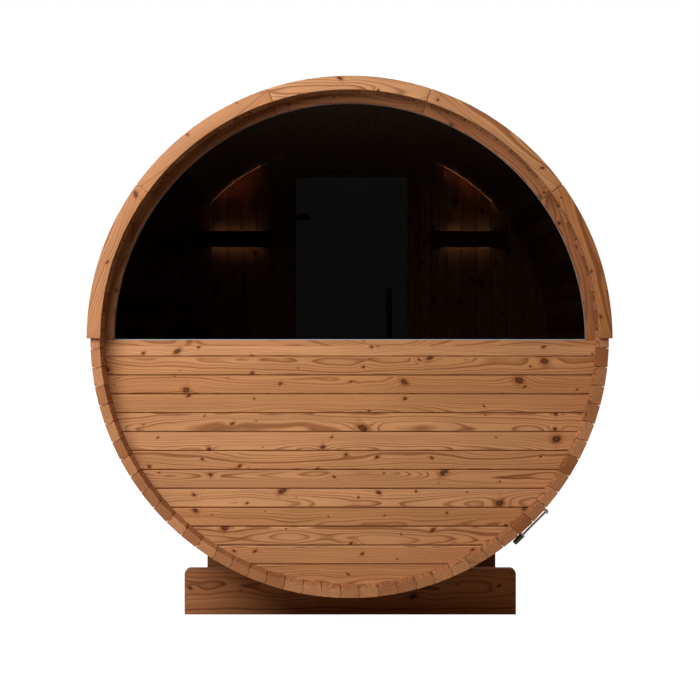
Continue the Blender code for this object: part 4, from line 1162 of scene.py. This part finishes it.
# Hoops: flat bands of brushed stainless steel, bent up into lugs, drawn together by a threaded rod with a
# long rounded nut at its lower end and a hexagon head on a washer at its upper end. The nut is a radius, a
# length and the radius of its rounded end, and the head a radius and a height.
TIGHTENER_TURN = math.radians(-45)
HOOP_PLACE = 0.935
ROD_PLACE = 1.052
ROD_RADIUS = 0.005
ROD_PITCH = 0.0015
LUG_FACE = 0.0688
NUT = (0.0105, 0.046, 0.006)
HEAD = (0.0095, 0.007)
HEAD_EASE = 0.0006
HEAD_FLATS = 0.96
WASHER = 0.0012
BRUSHED_BAND = "#c4c2be"
BRUSH_LINES = (8.0, 900.0, 8.0)
DARK_STEEL = "#5a5550"

# Brushed along the band: long fine lines, a millimetre apart, that spread the shine across them.
steel_band = {"Base Color": linear(BRUSHED_BAND), "Metallic": 1.0}
brushed, shader = surface("brushed_stainless_band", steel_band)
tree = brushed.node_tree
lines = add(tree, "VectorMath", add(tree, "TexCoord").outputs["Object"], BRUSH_LINES, operation="MULTIPLY")
lines = add(tree, "TexNoise", lines, 1.0, 3.0, 0.7)
gloss = add(tree, "MapRange", lines.outputs["Fac"], 0.3, 0.7, 0.26, 0.42)
tree.links.new(gloss.outputs[0], shader.inputs["Roughness"])
for name in ("window_hoop", "door_hoop"):
    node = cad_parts[name]
    node.data.materials.clear()
    node.data.materials.append(brushed)

# Oiled turned steel: dark and half dull.
oiled = {"Base Color": linear(DARK_STEEL), "Metallic": 1.0, "Roughness": 0.42}
dark_nut = surface("dark_steel_nut", oiled)[0]


def threaded(radius, length, pitch, sides=20):
    """A rod along Z with a turned thread, half as deep as its pitch."""
    deep = pitch / 2
    profile = ((radius, 0.0), (radius, 0.12), (radius - deep, 0.50), (radius - deep, 0.62))
    solid = bmesh.new()
    total = int(length / pitch) * sides
    rows = []
    for step in range(total + sides + 1):
        turn = 2 * math.pi * step / sides
        base = pitch * step / sides - length / 2 - pitch
        row = []
        for r, along in profile + ((radius, 1.0),):
            z = min(max(base + along * pitch, -length / 2), length / 2)
            row.append(solid.verts.new((r * math.cos(turn), r * math.sin(turn), z)))
        rows.append(row)
    for near, far in zip(rows, rows[1:]):
        for i in range(len(profile)):
            solid.faces.new((near[i], far[i], far[i + 1], near[i + 1]))
    bmesh.ops.dissolve_degenerate(solid, dist=0.000001, edges=solid.edges)
    return solid


rod = threaded(ROD_RADIUS, 2 * LUG_FACE, ROD_PITCH)
head_radius, head_height = HEAD
washer = turned([(0, 0), (head_radius, 0), (head_radius, WASHER), (0, WASHER)])
corner_radius = head_radius * HEAD_FLATS
sixths = [math.pi * k / 3 for k in range(6)]
hexagon = [(corner_radius * math.cos(a), corner_radius * math.sin(a)) for a in sixths]
bolt_head = eased(loft([[(x, y, z) for x, y in hexagon] for z in (WASHER, head_height)]), HEAD_EASE)
nut_radius, nut_length, nut_round = NUT
profile = [(0, 0), (nut_radius, 0)]
for step in range(7):
    turn = math.pi / 2 * step / 6
    r = nut_radius - nut_round + nut_round * math.cos(turn)
    profile.append((r, nut_length - nut_round + nut_round * math.sin(turn)))
profile.append((0, nut_length))
nut = turned(profile)
outward = Vector((math.cos(TIGHTENER_TURN), 0, math.sin(TIGHTENER_TURN)))
onward = Vector((-math.sin(TIGHTENER_TURN), 0, math.cos(TIGHTENER_TURN)))
for end, side in (("window", -1), ("door", 1)):
    middle = AXIS + outward * ROD_PLACE + Vector((0, side * HOOP_PLACE, 0))
    name = f"{end}_tightener"
    pile = bmesh.new()
    put(pile, rod, facing(onward, middle))
    for solid in (washer, bolt_head):
        put(pile, solid, facing(onward, middle + onward * LUG_FACE))
    finished(name + "_rod", pile, stainless, "barrel", [name])
    pile = bmesh.new()
    put(pile, nut, facing(-onward, middle - onward * LUG_FACE))
    finished(name + "_nut", pile, dark_nut, "barrel")
